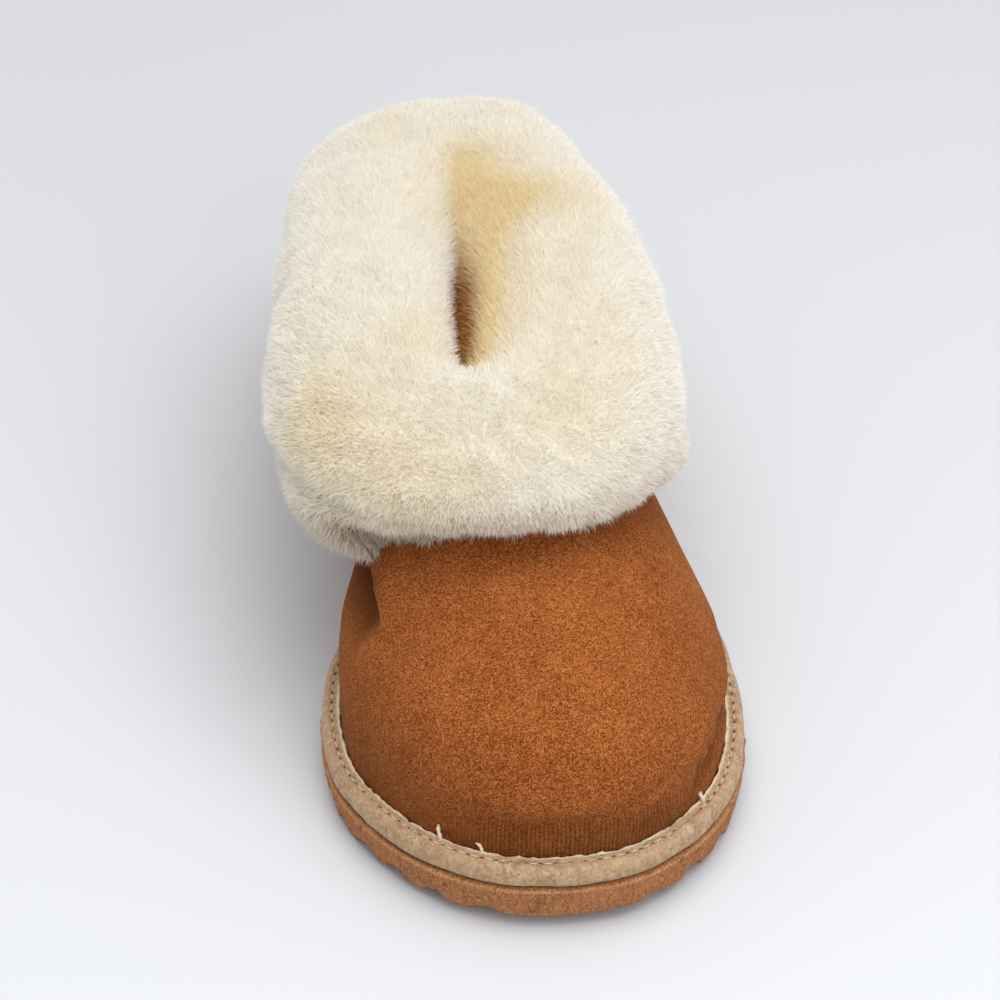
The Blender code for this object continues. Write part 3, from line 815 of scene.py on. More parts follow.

# Painted shade for the suede: darker towards the foot of the upper, on the inner side, along the deeper folds
# and in the pocket under the fleece.
low_band = 1 - smooth(1.5, 4.4, level)
inner_side = smooth(0.0, 30.0, -outer_wall[..., 0] - 22.0)
folds = sum(crease(upper_base, places, width * 1.1, 1.0)
            for name, width, depth, places in CREASES if depth > FOLD_LEAST_DEPTH and width < FOLD_WIDTH)
upper_marks = {
    "shade": np.clip(0.24 * low_band + 0.26 * inner_side + 0.55 * folds + 0.95 * pocket, 0, 1.2),
    "band": (1 - smooth(1.9, 2.9, level)) * (1 - smooth(0.07, 0.16, side_share)),
    "around": np.tile(last.from_toe, (len(levels), 1)),
}
unmarked = np.zeros(inner_wall.shape[:2])
for name, values in upper_marks.items():
    mark(upper_mesh, name, np.concatenate([values, unmarked]))
as_piece(new_object("upper_suede", upper_mesh, suede, pelt_finish), "upper", "upper")
inner_first = len(outer_wall) * len(last.plan)
for face in upper_mesh.polygons:
    if min(face.vertices) >= inner_first:
        face.material_index = 1

# %% [markdown]
# The midsole is foam board wrapped in beige suede. The wrap turns up round the foot of the upper as a soft
# rounded lip. It is one profile swept round the plan. A raw cut edge meets the suede, and a row of
# stitches a little inside that edge holds the lip to the upper.

# %% Wrapped midsole
sole_last = Last(fine_fractions(190, 0.5))
sole_columns = len(sole_last.plan)
LIP_PROFILE = (
    # inset, z
    (3.5, MIDSOLE_BOTTOM),
    (1.5, MIDSOLE_BOTTOM),
    (0.75, MIDSOLE_BOTTOM + 0.4),
    (0.12, MIDSOLE_BOTTOM + 1.5),
    (0.0, MIDSOLE_BOTTOM + 2.8),
    (0.12, LIP_TOP - 2.6),
    (0.5, LIP_TOP - 1.35),
    (1.15, LIP_TOP - 0.5),
    (1.9, LIP_TOP - 0.08),
    (2.4, LIP_TOP - 0.12),
    (2.9, LIP_TOP - 0.22),
    (3.6, LIP_TOP - 0.02),
    (4.6, LIP_TOP + 0.1),
    (LIP_WIDTH, LIP_TOP - 0.2),
    (LIP_WIDTH, LIP_TOP - 1.2),
    (LIP_WIDTH, MIDSOLE_TOP),
)
lip_rows = curve_through(LIP_PROFILE, 44)
lip_inset, lip_height = lip_rows.T
lip_rings = sole_last.profile(lip_rows)
lip_normals = grid_normals(lip_rings)
raw_edge = smooth(3.8, 4.5, lip_inset) * smooth(LIP_TOP - 1.4, LIP_TOP - 0.5, lip_height)
# Painted shade: the wrap darkens towards its underside.
under = 1 - smooth(MIDSOLE_BOTTOM, MIDSOLE_BOTTOM + 1.4, lip_height)
roll = 0.22 * swell(lip_rings, 16.0, 11) + 0.07 * swell(lip_rings, 4.0, 12)
frayed = 0.34 * swell(lip_rings, 3.4, 13) + 0.20 * swell(lip_rings, 1.8, 14)
roll = roll * (1 - raw_edge[:, None]) + raw_edge[:, None] * frayed
lip_rings = lip_rings + lip_normals * roll[:, :, None]
midsole_mesh = ring_mesh("midsole_wrap", lip_rings, caps=True)
mark(midsole_mesh, "shade", np.repeat(0.8 * under, sole_columns))
mark(midsole_mesh, "raw", np.repeat(raw_edge, sole_columns))
as_piece(new_object("midsole_wrap", midsole_mesh, wrap), "midsole", "midsole")


# %% [markdown]
# Stitches repeat along a path, so Geometry Nodes make them: the path is cut into equal steps, and each step
# gets a short thread and the hole that the needle left. The tree has its sizes as named inputs. Four thread
# ends that were never trimmed stand up beside the lip, and each is swept along a few given places.

# %% Geometry Nodes helpers
def new_tree(name, inputs):
    """A geometry tree with named inputs; gives the tree and a dictionary of their wires."""
    tree = bpy.data.node_groups.new(name, "GeometryNodeTree")
    tree.interface.new_socket("Geometry", in_out="INPUT", socket_type="NodeSocketGeometry")
    tree.interface.new_socket("Geometry", in_out="OUTPUT", socket_type="NodeSocketGeometry")
    for label, kind in inputs.items():
        tree.interface.new_socket(label, in_out="INPUT", socket_type=kind)
    source = tree.nodes.new("NodeGroupInput")
    return tree, {socket.name: Wire(tree, socket) for socket in source.outputs if socket.name}


def end_tree(geometry):
    """Realize the instances and hand them out."""
    real = geometry.node("GeometryNodeRealizeInstances", None, {0: geometry})
    out = real.tree.nodes.new("NodeGroupOutput")
    real.feed(out.inputs[0], real)


def run_tree(name, source, tree, values):
    """Run a tree on an object and keep the result as a plain mesh object of its own."""
    step = source.modifiers.new(tree.name, "NODES")
    step.node_group = tree
    for item in tree.interface.items_tree:
        if item.in_out == "INPUT" and item.name in values:
            step[item.identifier] = values[item.name]
    bpy.context.view_layer.update()
    graph = bpy.context.evaluated_depsgraph_get()
    mesh = bpy.data.meshes.new_from_object(source.evaluated_get(graph))
    source.modifiers.remove(step)
    mesh.name = name
    thing = bpy.data.objects.new(name, mesh)
    bpy.context.scene.collection.objects.link(thing)
    return thing


def path_object(name, points):
    """A closed line of edges, in metres, with the toe spring added."""
    points = np.array(points, float)
    points[:, 2] += lift(points[:, 1])
    mesh = bpy.data.meshes.new(name)
    edges = [(here, (here + 1) % len(points)) for here in range(len(points))]
    mesh.from_pydata((points * MM).tolist(), edges, [])
    return new_object(name, mesh)


# %% Lip stitches
STITCH_PITCH = 3.7
STITCH_INSET = 2.75
STITCH_SINK = 0.22
STITCH_SHAPE = (7.2, 1.0, 0.9)
THREAD_RADIUS = 0.15
HOLE_SHAPE = (1.3, 0.85, 0.5)
HOLE_RADIUS = 0.42

tree, sockets = new_tree("lip_stitches", {
    "Pitch": "NodeSocketFloat", "Thread": "NodeSocketFloat", "Hole": "NodeSocketFloat",
    "Thread finish": "NodeSocketMaterial",
    "Hole finish": "NodeSocketMaterial",
})
pitch, girth = sockets["Pitch"], sockets["Thread"]
line = pitch.node("GeometryNodeMeshToCurve", None, {0: sockets["Geometry"]})
steps = pitch.node("GeometryNodeResampleCurve", {"mode": "LENGTH"}, {"Curve": line, "Length": pitch})
tangent = pitch.node("GeometryNodeInputTangent")
turn = pitch.node("FunctionNodeAlignRotationToVector", {"axis": "X"}, {"Vector": tangent})
bead = pitch.node("GeometryNodeMeshUVSphere", None, {"Segments": 8, "Rings": 5, "Radius": girth})
flat = pitch.node("GeometryNodeTransform", None, {"Geometry": bead, "Scale": STITCH_SHAPE})
flat = flat.node("GeometryNodeSetMaterial", None, {0: flat, "Material": sockets["Thread finish"]})
# Each hole is a dark disc of painted shade.
disc = pitch.node("GeometryNodeMeshUVSphere", None, {"Segments": 8, "Rings": 4, "Radius": sockets["Hole"]})
half = pitch.node("ShaderNodeCombineXYZ", None, {"X": pitch * 0.5})
disc = disc.node("GeometryNodeTransform", None,
                 {"Geometry": disc, "Scale": HOLE_SHAPE, "Translation": half})
disc = disc.node("GeometryNodeSetMaterial", None, {0: disc, "Material": sockets["Hole finish"]})
pair = pitch.node("GeometryNodeJoinGeometry", None, {0: flat})
pitch.tree.links.new(disc.socket, pair.socket.node.inputs[0])
stitches = pitch.node("GeometryNodeInstanceOnPoints", None,
                      {"Points": steps, "Instance": pair, "Rotation": turn})
end_tree(stitches)

stitch_line = sole_last.profile([(STITCH_INSET, LIP_TOP - STITCH_SINK)])[0]
stitch_path = path_object("stitch_path", stitch_line)
lip_stitches = run_tree("lip_stitches", stitch_path, tree, {
    "Pitch": STITCH_PITCH * MM, "Thread": THREAD_RADIUS * MM, "Hole": HOLE_RADIUS * MM,
    "Thread finish": thread, "Hole finish": hole,
})
bpy.data.objects.remove(stitch_path)
as_piece(lip_stitches, "midsole")

# %% Loose thread ends
THREAD_ENDS = (
    # name, radius, places of the line before the toe is raised (x, y, z)
    ("long end", 0.50, (
        (-31.0, -117.2, 16.4), (-31.1, -116.9, 18.2), (-31.5, -116.4, 20.2), (-31.4, -116.0, 21.6))),
    ("curled end", 0.44, (
        (-21.6, -123.6, 16.4), (-21.5, -123.4, 17.8), (-21.9, -122.9, 19.2), (-22.9, -122.4, 19.8))),
    ("outer knot", 0.60, (
        (36.3, -110.8, 16.4), (36.2, -110.6, 17.6), (35.6, -110.2, 18.6), (35.7, -109.6, 19.3))),
    ("front tag", 0.45, (
        (6.6, -128.4, 16.6), (6.8, -128.6, 17.4), (7.6, -128.8, 17.9), (8.8, -128.8, 17.8))),
)
STRAND_SIDES = 8
STRAND_STEPS = 10
TWIST = 19.0
FRAYED_FROM = 0.85
FRAYED_GIRTH = 0.65


def strand(places, radius):
    """Rings along a line of places that narrow to a frayed tip."""
    line = curve_through(places, STRAND_STEPS)
    ahead = np.gradient(line, axis=0)
    ahead /= np.linalg.norm(ahead, axis=1)[:, None]
    side = np.cross(ahead, (0.3, 1.0, 0.1))
    side /= np.linalg.norm(side, axis=1)[:, None]
    other_side = np.cross(ahead, side)
    share = np.linspace(0, 1, STRAND_STEPS)
    girth = radius * (1 + 0.22 * np.sin(share * TWIST)) * np.where(share > FRAYED_FROM, FRAYED_GIRTH, 1.0)
    angles = np.linspace(0, 2 * math.pi, STRAND_SIDES, endpoint=False)[None, :, None]
    circle = np.cos(angles) * side[:, None, :] + np.sin(angles) * other_side[:, None, :]
    return line[:, None, :] + girth[:, None, None] * circle


joined = bmesh.new()
for name, radius, places in THREAD_ENDS:
    joined.from_mesh(ring_mesh(name, strand(places, radius), caps=True))
bmesh.ops.recalc_face_normals(joined, faces=joined.faces)
ends_mesh = bpy.data.meshes.new("thread_ends")
joined.to_mesh(ends_mesh)
joined.free()
as_piece(new_object("thread_ends", ends_mesh, thread), "midsole")

# %% [markdown]
# The outsole is a slab of foam rubber. Cross ripples are cut into its underside and notch its edges, and the
# cut sides are scored with fine upright strokes. The slab is a swept profile, and the ripples are cut
# by a row of rounded bars whose edges wander a little, as worn and moulded edges do. Two smaller bars cut
# the raised toe.

# %% Rippled outsole
RIPPLE_PITCH = 10.4
RIPPLE_DEPTH = 3.4
FIRST_RIPPLE_Y = -109.2
RIPPLE_COUNT = 22
TOE_RIPPLES = (
    # y, share of a full ripple
    (-119.3, 0.85),
    (-127.4, 0.62),
)
SOLE_PROFILE = (
    # inset, z
    (7.0, 0.0),
    (2.4, 0.0),
    (1.5, 0.15),
    (1.0, 0.9),
    (0.7, 2.4),
    (0.35, 4.4),
    (0.05, 6.5),
    (-0.2, 8.2),
    (-0.25, 9.0),
    (0.05, 9.6),
    (1.0, 9.85),
    (4.0, 10.2),
)
sole_rows = curve_through(SOLE_PROFILE, 34)
sole_height = sole_rows[:, 1]
sole_rings = sole_last.profile(sole_rows)
sole_normals = grid_normals(sole_rings)
flank = smooth(0.3, 1.5, sole_height) * (1 - smooth(9.9, 10.15, sole_height))
travelled = sole_last.travelled
score = np.sin(travelled * 2.1 + 2 * np.sin(travelled / 9)) * np.sin(travelled / 3.1) * 0.16
score = score + 0.22 * swell(sole_rings, 7.0, 21)
sole_rings = sole_rings + sole_normals * (score * flank[:, None])[:, :, None]
outsole_mesh = ring_mesh("outsole_rubber", sole_rings, caps=True)
# The top rim is marked for a painted highlight.
mark(outsole_mesh, "edge", np.repeat(smooth(8.7, 9.5, sole_height), sole_columns))
outsole_piece = new_object("outsole_rubber", outsole_mesh, rubber)

# %% Bars that cut the ripples
BAR_REACH = 62
BAR_SLICES = 32
BAR_BELOW = -1.2
HALF_MOUTH = (3.6, 4.3)
DEPTH_CHANCE = (1.0, 1.2)
OUTER_EDGE = (22.0, 46.0)
OUTER_RISE = 0.30
BAR_SHAPE = (
    # share of the half mouth, share of the depth
    (0.80, 0.30),
    (0.42, 0.70),
    (0.02, 0.97),
    (-0.30, 1.00),
    (-0.58, 0.80),
    (-0.72, 0.35),
)


def ripple_bars():
    """One mesh with a rounded bar for each ripple, wider and deeper by a little chance at each."""
    shape = bmesh.new()
    chance = np.random.default_rng(31)
    ripples = [(FIRST_RIPPLE_Y + index * RIPPLE_PITCH, 1.0) for index in range(RIPPLE_COUNT)]
    for index, (y, part) in enumerate(ripples + list(TOE_RIPPLES)):
        mouth = part * chance.uniform(*HALF_MOUTH)
        depth = part * RIPPLE_DEPTH * chance.uniform(*DEPTH_CHANCE)
        spring = float(lift(y))
        profile = [(-mouth, BAR_BELOW), (mouth, BAR_BELOW)]
        profile += [(mouth * wide, depth * deep) for wide, deep in BAR_SHAPE]
        slices = []
        for x in np.linspace(-BAR_REACH, BAR_REACH, BAR_SLICES):
            wander = 0.28 * math.sin(x * 0.9 + index * 2.1) + 0.22 * math.sin(x * 0.37 + index)
            rise = 1 + 0.10 * math.sin(x * 0.7 + index * 1.3) + OUTER_RISE * float(smooth(*OUTER_EDGE, x))
            slices.append([
                shape.verts.new(Vector((x, y + wander + dy, dz * rise + spring)) * MM) for dy, dz in profile])
        for low, high in zip(slices, slices[1:]):
            for here in range(len(profile)):
                ahead = (here + 1) % len(profile)
                shape.faces.new((low[here], low[ahead], high[ahead], high[here]))
        shape.faces.new(slices[0][::-1])
        shape.faces.new(slices[-1])
    bmesh.ops.recalc_face_normals(shape, faces=shape.faces)
    mesh = bpy.data.meshes.new("ripple_bars")
    shape.to_mesh(mesh)
    shape.free()
    return new_object("ripple_bars", mesh)


SHARP_ANGLE = math.radians(38)
bars = ripple_bars()
cut = outsole_piece.modifiers.new("ripples", "BOOLEAN")
cut.operation = "DIFFERENCE"
cut.object = bars
cut.solver = "EXACT"
bpy.context.view_layer.update()
graph = bpy.context.evaluated_depsgraph_get()
cut_mesh = bpy.data.meshes.new_from_object(outsole_piece.evaluated_get(graph))
outsole_piece.modifiers.clear()
outsole_piece.data = cut_mesh
bpy.data.objects.remove(bars)
cut_mesh.shade_smooth()
cut_mesh.set_sharp_from_angle(angle=SHARP_ANGLE)
as_piece(outsole_piece, "outsole", "outsole")

# %% [markdown]
# Inside, a sheepskin footbed fills the bottom. It is only seen through the slit, so a swept pad with a
# lumpy top and the pelt's finish is enough.

# %% Insole
STRAW_OF_PAD = 0.5
inner_edge = FEATHER_INSET + UPPER_WALL + 2 * GAP
insole_top = FEATHER_Z + INSOLE_THICKNESS
pad_last = Last(np.linspace(0, 1, 90))
pad_profile = (
    # inset, z
    (inner_edge, FEATHER_Z),
    (inner_edge, insole_top - 2),
    (inner_edge + 1, insole_top - 0.5),
    (inner_edge + 4, insole_top),
    (inner_edge + 12, insole_top),
    (inner_edge + 24, insole_top),
)
pad_rings = pad_last.profile(curve_through(pad_profile, 26))
pad_rings[..., 2] += 0.35 * swell(pad_rings, 6.0, 41) * smooth(insole_top - 2, insole_top, pad_rings[..., 2])
insole_mesh = ring_mesh("insole_sheepskin", pad_rings, caps=True)
mark(insole_mesh, "straw", np.full(len(insole_mesh.vertices), STRAW_OF_PAD))
as_piece(new_object("insole_sheepskin", insole_mesh, pelt_finish), "insole", "insole")

# %% [markdown]
# The collar is a band of sheepskin turned down over the ankle, wool outwards. Under the wool lies the pelt:
# a fat saddle that rises from the hem, over the crown and down into the narrow slit where the foot goes in.
# It is lofted through the collar's rings, sunk by the depth of the wool, and swelled into soft lumps.

# %% The upper read at any level
LADDER_TOP = 10
ROWS_PER_LEVEL = 10

cuff_last = Last(np.linspace(0, 1, 131))
wall_grid = upper_surface(cuff_last, np.linspace(0, LADDER_TOP, LADDER_TOP * ROWS_PER_LEVEL + 1))
wall_normals = grid_normals(wall_grid)


def wall_at(levels_by_column, grid):
    """Read a grid of the upper at one level for each column."""
    row = np.clip(np.asarray(levels_by_column) * ROWS_PER_LEVEL, 0, len(grid) - 1.001)
    low = row.astype(int)
    share = (row - low)[:, None]
    columns = np.arange(grid.shape[1])
    return grid[low, columns] * (1 - share) + grid[low + 1, columns] * share


# %% Hem of the wool
HEM_HEIGHT = 7.5
HEM_HANG = 7.0
HANG_PLACE, HANG_REACH = 0.235, 0.08
HANG_OUTSIDE = 0.35
HEM_TUCK = 2.6
TUCK_PLACE = (0.72, 0.95)
HEM_RISE = -0.08
HEM_BLUR = 4
HEM_WANDER = (
    # share of the way from toe to heel, negative on the inner side, and how far the edge moves up the ladder
    (-0.38, 0.0), (-0.34, -0.12), (-0.295, -0.27), (-0.25, -0.16), (-0.20, -0.02), (-0.13, -0.12),
    (-0.05, -0.06), (0.01, 0.0), (0.07, -0.10), (0.14, -0.24), (0.24, 0.0),
)

side_share = cuff_last.side_place
hem_share, outer_hem, inner_hem = np.array(HEM_LINE).T
hem_level = np.where(
    cuff_last.outer_side,
    np.interp(side_share, hem_share, outer_hem),
    np.interp(side_share, hem_share, inner_hem),
) + HEM_RISE
signed_share = np.where(cuff_last.outer_side, 1.0, -1.0) * side_share
hem_level += np.interp(signed_share, *np.array(HEM_WANDER).T)
blur = range(-HEM_BLUR, HEM_BLUR + 1)
hem_level = sum(np.roll(hem_level, step) for step in blur) / len(blur)
hem_level += 0.035 * np.sin(cuff_last.travelled / 6.0) + 0.03 * np.sin(cuff_last.travelled / 2.9)
hem_skin = wall_at(hem_level, wall_grid)
hem_out = wall_at(hem_level, wall_normals)
hang = np.exp(-(((side_share - HANG_PLACE) / HANG_REACH) ** 2))
hang = np.where(cuff_last.outer_side, HANG_OUTSIDE, 1.0) * hang
hem_height = HEM_HEIGHT + HEM_HANG * hang - HEM_TUCK * smooth(*TUCK_PLACE, side_share)

# %% Pelt under the wool
WOOL_DEPTH = 1.9
DIMPLES = (
    # x, y, z, reach, depth
    (24.0, 74.0, 97.0, 22.0, 3.2),
    (6.0, 70.0, 94.0, 15.0, 2.6),
    (-36.0, 86.0, 86.0, 24.0, 1.4),
    (10.0, -58.0, 98.0, 11.0, 1.6),
    (16.0, -72.0, 84.0, 10.0, 1.2),
    (-28.0, -28.0, 107.0, 12.0, 1.0),
    (-34.0, -66.0, 84.0, 16.0, 1.0),
)

hem_ring = hem_skin + hem_out * hem_height[:, None]
fleece_table = np.array([hem_ring] + [cuff_last.ring(row) for name, row in CUFF_RINGS])
climb = graded((0, 4, 44), (4, 6.2, 30), (6.2, 8, 12))
fleece = catmull(fleece_table, climb, False)
fleece_out = grid_normals(fleece)
across, along, up = axes(fleece)
waves = np.sin(across / 8.1 + along / 11.3) + np.sin(along / 9.2 - up / 7.4 + 1.0)
waves = waves + np.sin(across / 6.7 - up / 9.9 + 2.1)
bulk = 1.3 * waves / 3 + 0.7 * swell(fleece, 17.0, 51) + 0.45 * swell(fleece, 8.0, 52)
bulk = bulk + (2.6 + 1.8 * hang) * np.sin(math.pi * np.clip(climb, 0, 1))[:, None]
for x, y, z, reach, depth in DIMPLES:
    bulk = bulk - depth * nearness(fleece, (x, y, z), reach)
climb_column = climb[:, None]
outside = 1 - smooth(4.6, 6.0, climb_column)
bulk = bulk * (0.35 + 0.65 * smooth(0.0, 1.0, climb_column)) * outside
sunk = WOOL_DEPTH * (0.62 + 0.38 * smooth(0.0, 0.8, climb_column)) * outside + 0.3 * (1 - outside)
pelt = fleece + fleece_out * (bulk - sunk)[:, :, None]

# %% Lining, cover of the upper and the turn under the hem
LINING_LEVELS = np.linspace(8.0, 10.0, 4)
COVER_TOP = 9.9
COVER_SHARES = (1.0, 0.66, 0.33, 0.10)

inside_wall = wall_grid - wall_normals * (UPPER_WALL + 2.5 * GAP)
lining = [wall_at(np.full(len(hem_level), step), inside_wall) for step in LINING_LEVELS]
outside_wall = wall_grid + wall_normals * (GAP + 0.1)
cover = [wall_at(hem_level + (COVER_TOP - hem_level) * share, outside_wall) for share in COVER_SHARES]
under_hem = [hem_skin + hem_out * 0.6, hem_skin * 0.5 + pelt[0] * 0.5 + hem_out * 0.2]
pelt_rings = np.concatenate([pelt, lining, cover, under_hem])
print("pelt grid:", pelt_rings.shape)

# %% Tints and lie of the wool on the pelt
STRAW_PATCHES = (
    # x, y, z, reach, amount
    (-1.0, 46.0, 97.0, 18.0, 0.80),
    (16.0, 40.0, 100.0, 15.0, 0.30),
    (-1.0, 74.0, 89.0, 16.0, 0.40),
    (-53.0, -41.0, 94.0, 14.0, 0.40),
    (-28.0, -26.0, 107.0, 8.0, 0.12),
    (10.0, -56.0, 101.0, 9.0, 0.14),
    (-36.0, -64.0, 90.0, 20.0, 0.28),
    (22.0, -30.0, 108.0, 14.0, 0.15),
)
SLIT_X, SLIT_Y = -15.5, -38.5
SLIT_SLOPE = 0.09
BEHIND_SLIT_Y = 30
HIDDEN_CLIMB = 9.0
UNDER_HEM_CLIMB = (-0.6, -0.3)

row_climb = np.full(len(pelt_rings), HIDDEN_CLIMB)
row_climb[: len(climb)] = climb
row_climb[-len(under_hem):] = UNDER_HEM_CLIMB
row_climb = row_climb[:, None]
across, along, up = axes(pelt_rings)
slit_x = SLIT_X + SLIT_SLOPE * (along - SLIT_Y)
outer_of_slit = 0.25 + 0.75 * smooth(-5.0, 1.0, across - slit_x)
outer_wall_of_slit = smooth(-0.5, 1.5, across - slit_x - 1.0)
straw = 0.06 + 0.10 * np.clip(swell(pelt_rings, 30.0, 61), 0, 1)
for x, y, z, reach, amount in STRAW_PATCHES:
    patch = amount * nearness(pelt_rings, (x, y, z), reach)
    straw = straw + (patch * outer_of_slit if y > BEHIND_SLIT_Y else patch)
straw = straw + 0.4 * outer_wall_of_slit * smooth(4.9, 5.5, row_climb)
straw = straw + 0.6 * outer_wall_of_slit * smooth(5.4, 5.8, row_climb)
# Painted shade along the hem: grey over the wool there.
grey = 0.80 * (1 - smooth(-0.3, 1.3, row_climb)) * (0.7 + 0.3 * swell(pelt_rings, 12.0, 62))
brown = np.maximum(smooth(5.9, 6.3, row_climb), 0.95 * outer_wall_of_slit * smooth(5.72, 6.12, row_climb))
brown = brown * (1 - 0.45 * smooth(4.0, 24.0, along) - 0.4 * smooth(24.0, 40.0, along))

# %% Length and cover of the wool, and the marked pelt
GROWS_BETWEEN = (-0.7, 7.3)

slit = smooth(5.4, 6.0, row_climb) * (1 - smooth(6.9, 7.4, row_climb))
length = 2.7 + 0.25 * swell(pelt_rings, 9.0, 63) + 0.6 * (1 - smooth(-0.2, 1.3, row_climb))
length = length + slit * 3.4 * smooth(10.0, 34.0, along)
growing = (row_climb > GROWS_BETWEEN[0]) & (row_climb < GROWS_BETWEEN[1])
pelt_marks = {
    "straw": np.clip(straw, 0, 1),
    "grey": np.clip(grey, 0, 1),
    "brown": brown,
    "length": length * MM,
    "cover": np.where(growing, 1.0, 0.0) * (1 - 0.25 * (1 - smooth(-0.2, 0.8, row_climb))),
    # hem: where the fibres droop, and where painted shade darkens the roots and the pelt.
    "hem": 1 - smooth(-0.2, 1.2, row_climb),
}
pelt_mesh = ring_mesh("fleece_pelt", pelt_rings, closed_section=True)
for name, values in pelt_marks.items():
    mark(pelt_mesh, name, np.broadcast_to(values, pelt_rings.shape[:2]))
pelt_piece = new_object("fleece_pelt", pelt_mesh, pelt_finish)

# %% [markdown]
# Wool is a great many fine fibres that lean together into curls. Each fibre here is a bent blade of
# three triangles. Geometry Nodes scatter them over the pelt, lean each one towards the middle of its curl and
# down with its own weight near the hem, and give it the length and tints marked on the pelt. Several coats
# with different seeds share the work, so that no one piece is too heavy.


# %% Blade shapes
def blade(name, bends):
    """A fibre one unit long and one wide that rises from the origin and bends to one side."""
    (middle_x, middle_y), (tip_x, tip_y) = bends
    points = [(-0.5, 0, 0), (0.5, 0, 0), (middle_x + 0.36, middle_y, 0.55), (middle_x - 0.36, middle_y, 0.55),
              (tip_x, tip_y, 1.0)]
    mesh = bpy.data.meshes.new(name)
    mesh.from_pydata(points, [], [(0, 1, 2, 3), (3, 2, 4)])
    mesh.shade_smooth()
    mark(mesh, "tip", [point[2] for point in points])
    return bpy.data.objects.new(name, mesh)


BENDS = (((0.0, 0.9), (0.0, -0.6)), ((0.5, 1.2), (1.0, 3.0)), ((-0.6, -0.8), (-1.2, 1.4)),
         ((0.3, -1.4), (0.4, -3.4)), ((0.9, 0.6), (-0.9, 2.2)))
blades = bpy.data.collections.new("blades")
for index, bends in enumerate(BENDS):
    blades.objects.link(blade(f"blade_{index}", bends))


# %% The tree that grows a coat of wool
RUFFLES = 90.0
LOOSE = 0.45


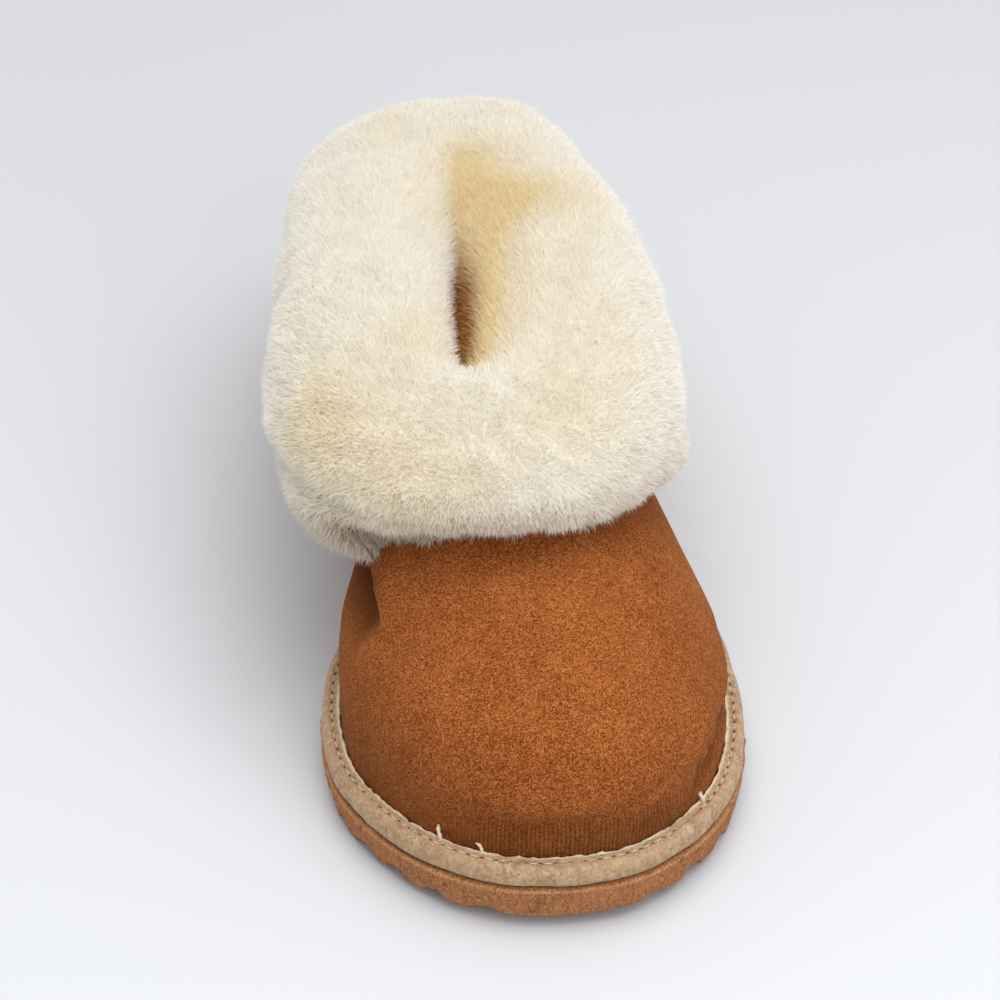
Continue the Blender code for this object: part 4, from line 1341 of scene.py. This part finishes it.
def wool_tree():
    """Scatter blades over the pelt, lean them into curls, and size them by the marks of their place."""
    tree, s = new_tree("wool_coat", {
        "Fibres": "NodeSocketFloat", "Width": "NodeSocketFloat", "Reach": "NodeSocketFloat",
        "Curl": "NodeSocketFloat", "Lean": "NodeSocketFloat", "Droop": "NodeSocketFloat",
        "Ruffle": "NodeSocketFloat", "Seed": "NodeSocketInt", "Blades": "NodeSocketCollection",
        "Finish": "NodeSocketMaterial",
    })
    wire = s["Fibres"]

    def stored(name):
        """A mark of the pelt."""
        return wire.node("GeometryNodeInputNamedAttribute", {"data_type": "FLOAT"}, {"Name": name})

    def chance(low, high, offset, kind="FLOAT"):
        """A random value for each fibre, with a seed of its own."""
        seed = s["Seed"] + offset
        sockets = {"FLOAT": (2, 3, 1), "FLOAT_VECTOR": (0, 1, 0), "INT": (4, 5, 2)}[kind]
        return wire.node("FunctionNodeRandomValue", {"data_type": kind},
                         {sockets[0]: low, sockets[1]: high, "Seed": seed}, sockets[2])

    points = wire.tree.nodes.new("GeometryNodeDistributePointsOnFaces")
    wire.feed(points.inputs["Mesh"], s["Geometry"])
    wire.feed(points.inputs["Density"], s["Fibres"] * stored("cover"))
    wire.feed(points.inputs["Seed"], s["Seed"])
    spot = wire.node("GeometryNodeInputPosition")
    cell = wire.node("ShaderNodeTexVoronoi", None, {"Vector": spot, "Scale": s["Curl"]}, "Position")
    lean = cell.vector("SUBTRACT", spot).vector("SCALE", s["Lean"] * (stored("hem") * 1.6 + 0.3))
    ruffle = wire.node("ShaderNodeTexNoise", None, {"Vector": spot, "Scale": RUFFLES, "Detail": 1.0}, "Color")
    ruffle = ruffle.vector("SUBTRACT", (0.5, 0.5, 0.5)).vector("SCALE", s["Ruffle"])
    loose = chance((-LOOSE,) * 3, (LOOSE,) * 3, 1, "FLOAT_VECTOR")
    down = wire.node("ShaderNodeCombineXYZ", None, {"Z": 0 - s["Droop"] * stored("hem")})
    aim = Wire(wire.tree, points.outputs["Normal"])
    for push in (lean, ruffle, loose, down):
        aim = aim.vector("ADD", push)
    turn = wire.node("FunctionNodeAlignRotationToVector", {"axis": "Z"}, {"Vector": aim})
    spin = wire.node("ShaderNodeCombineXYZ", None, {"Z": chance(0.0, 2 * math.pi, 2)})
    spin = wire.node("FunctionNodeEulerToRotation", None, {0: spin})
    turn = wire.node("FunctionNodeRotateRotation", {"rotation_space": "LOCAL"},
                     {"Rotation": turn, "Rotate By": spin})
    tall = stored("length") * s["Reach"] * chance(0.72, 1.12, 3)
    wide = s["Width"] * chance(0.7, 1.2, 4)
    size = wire.node("ShaderNodeCombineXYZ", None, {"X": wide, "Y": wide, "Z": tall})
    flecked = wire.node("GeometryNodeStoreNamedAttribute", {"data_type": "FLOAT", "domain": "POINT"},
                        {"Geometry": Wire(wire.tree, points.outputs["Points"]), "Name": "fleck",
                         "Value": chance(0.0, 1.0, 5)})
    kinds = wire.node("GeometryNodeCollectionInfo", None,
                      {"Collection": s["Blades"], "Separate Children": True, "Reset Children": True})
    grown = wire.node("GeometryNodeInstanceOnPoints", None, {
        "Points": flecked, "Instance": kinds, "Pick Instance": True, "Rotation": turn, "Scale": size,
        "Instance Index": chance(0, len(BENDS) - 1, 6, "INT")})
    dressed = wire.node("GeometryNodeSetMaterial", None, {0: grown, "Material": s["Finish"]})
    end_tree(dressed)
    return tree


coat_tree = wool_tree()

# %% Coats of wool
COATS = (
    # name, fibres per square mm, width in mm, share of the length, curls per m, lean, droop, ruffle, seed
    ("wool_undercoat", 1.35, 0.40, 0.90, 400.0, 150.0, 0.25, 0.35, 71),
    ("wool_coat_first", 1.35, 0.32, 1.00, 500.0, 240.0, 0.30, 0.45, 72),
    ("wool_coat_second", 1.35, 0.30, 1.08, 500.0, 240.0, 0.30, 0.45, 73),
    ("wool_coat_third", 1.35, 0.26, 1.20, 600.0, 220.0, 0.35, 0.55, 74),
)
for name, fibres, width, reach, curl, lean, droop, ruffle, seed in COATS:
    coat = run_tree(name, pelt_piece, coat_tree, {
        "Fibres": fibres / MM**2, "Width": width * MM, "Reach": reach, "Curl": curl, "Lean": lean,
        "Droop": droop, "Ruffle": ruffle, "Seed": seed, "Blades": blades, "Finish": fibre_finish,
    })
    as_piece(coat, "cuff")
as_piece(pelt_piece, "cuff", "cuff")
for thing in list(blades.objects):
    bpy.data.objects.remove(thing)
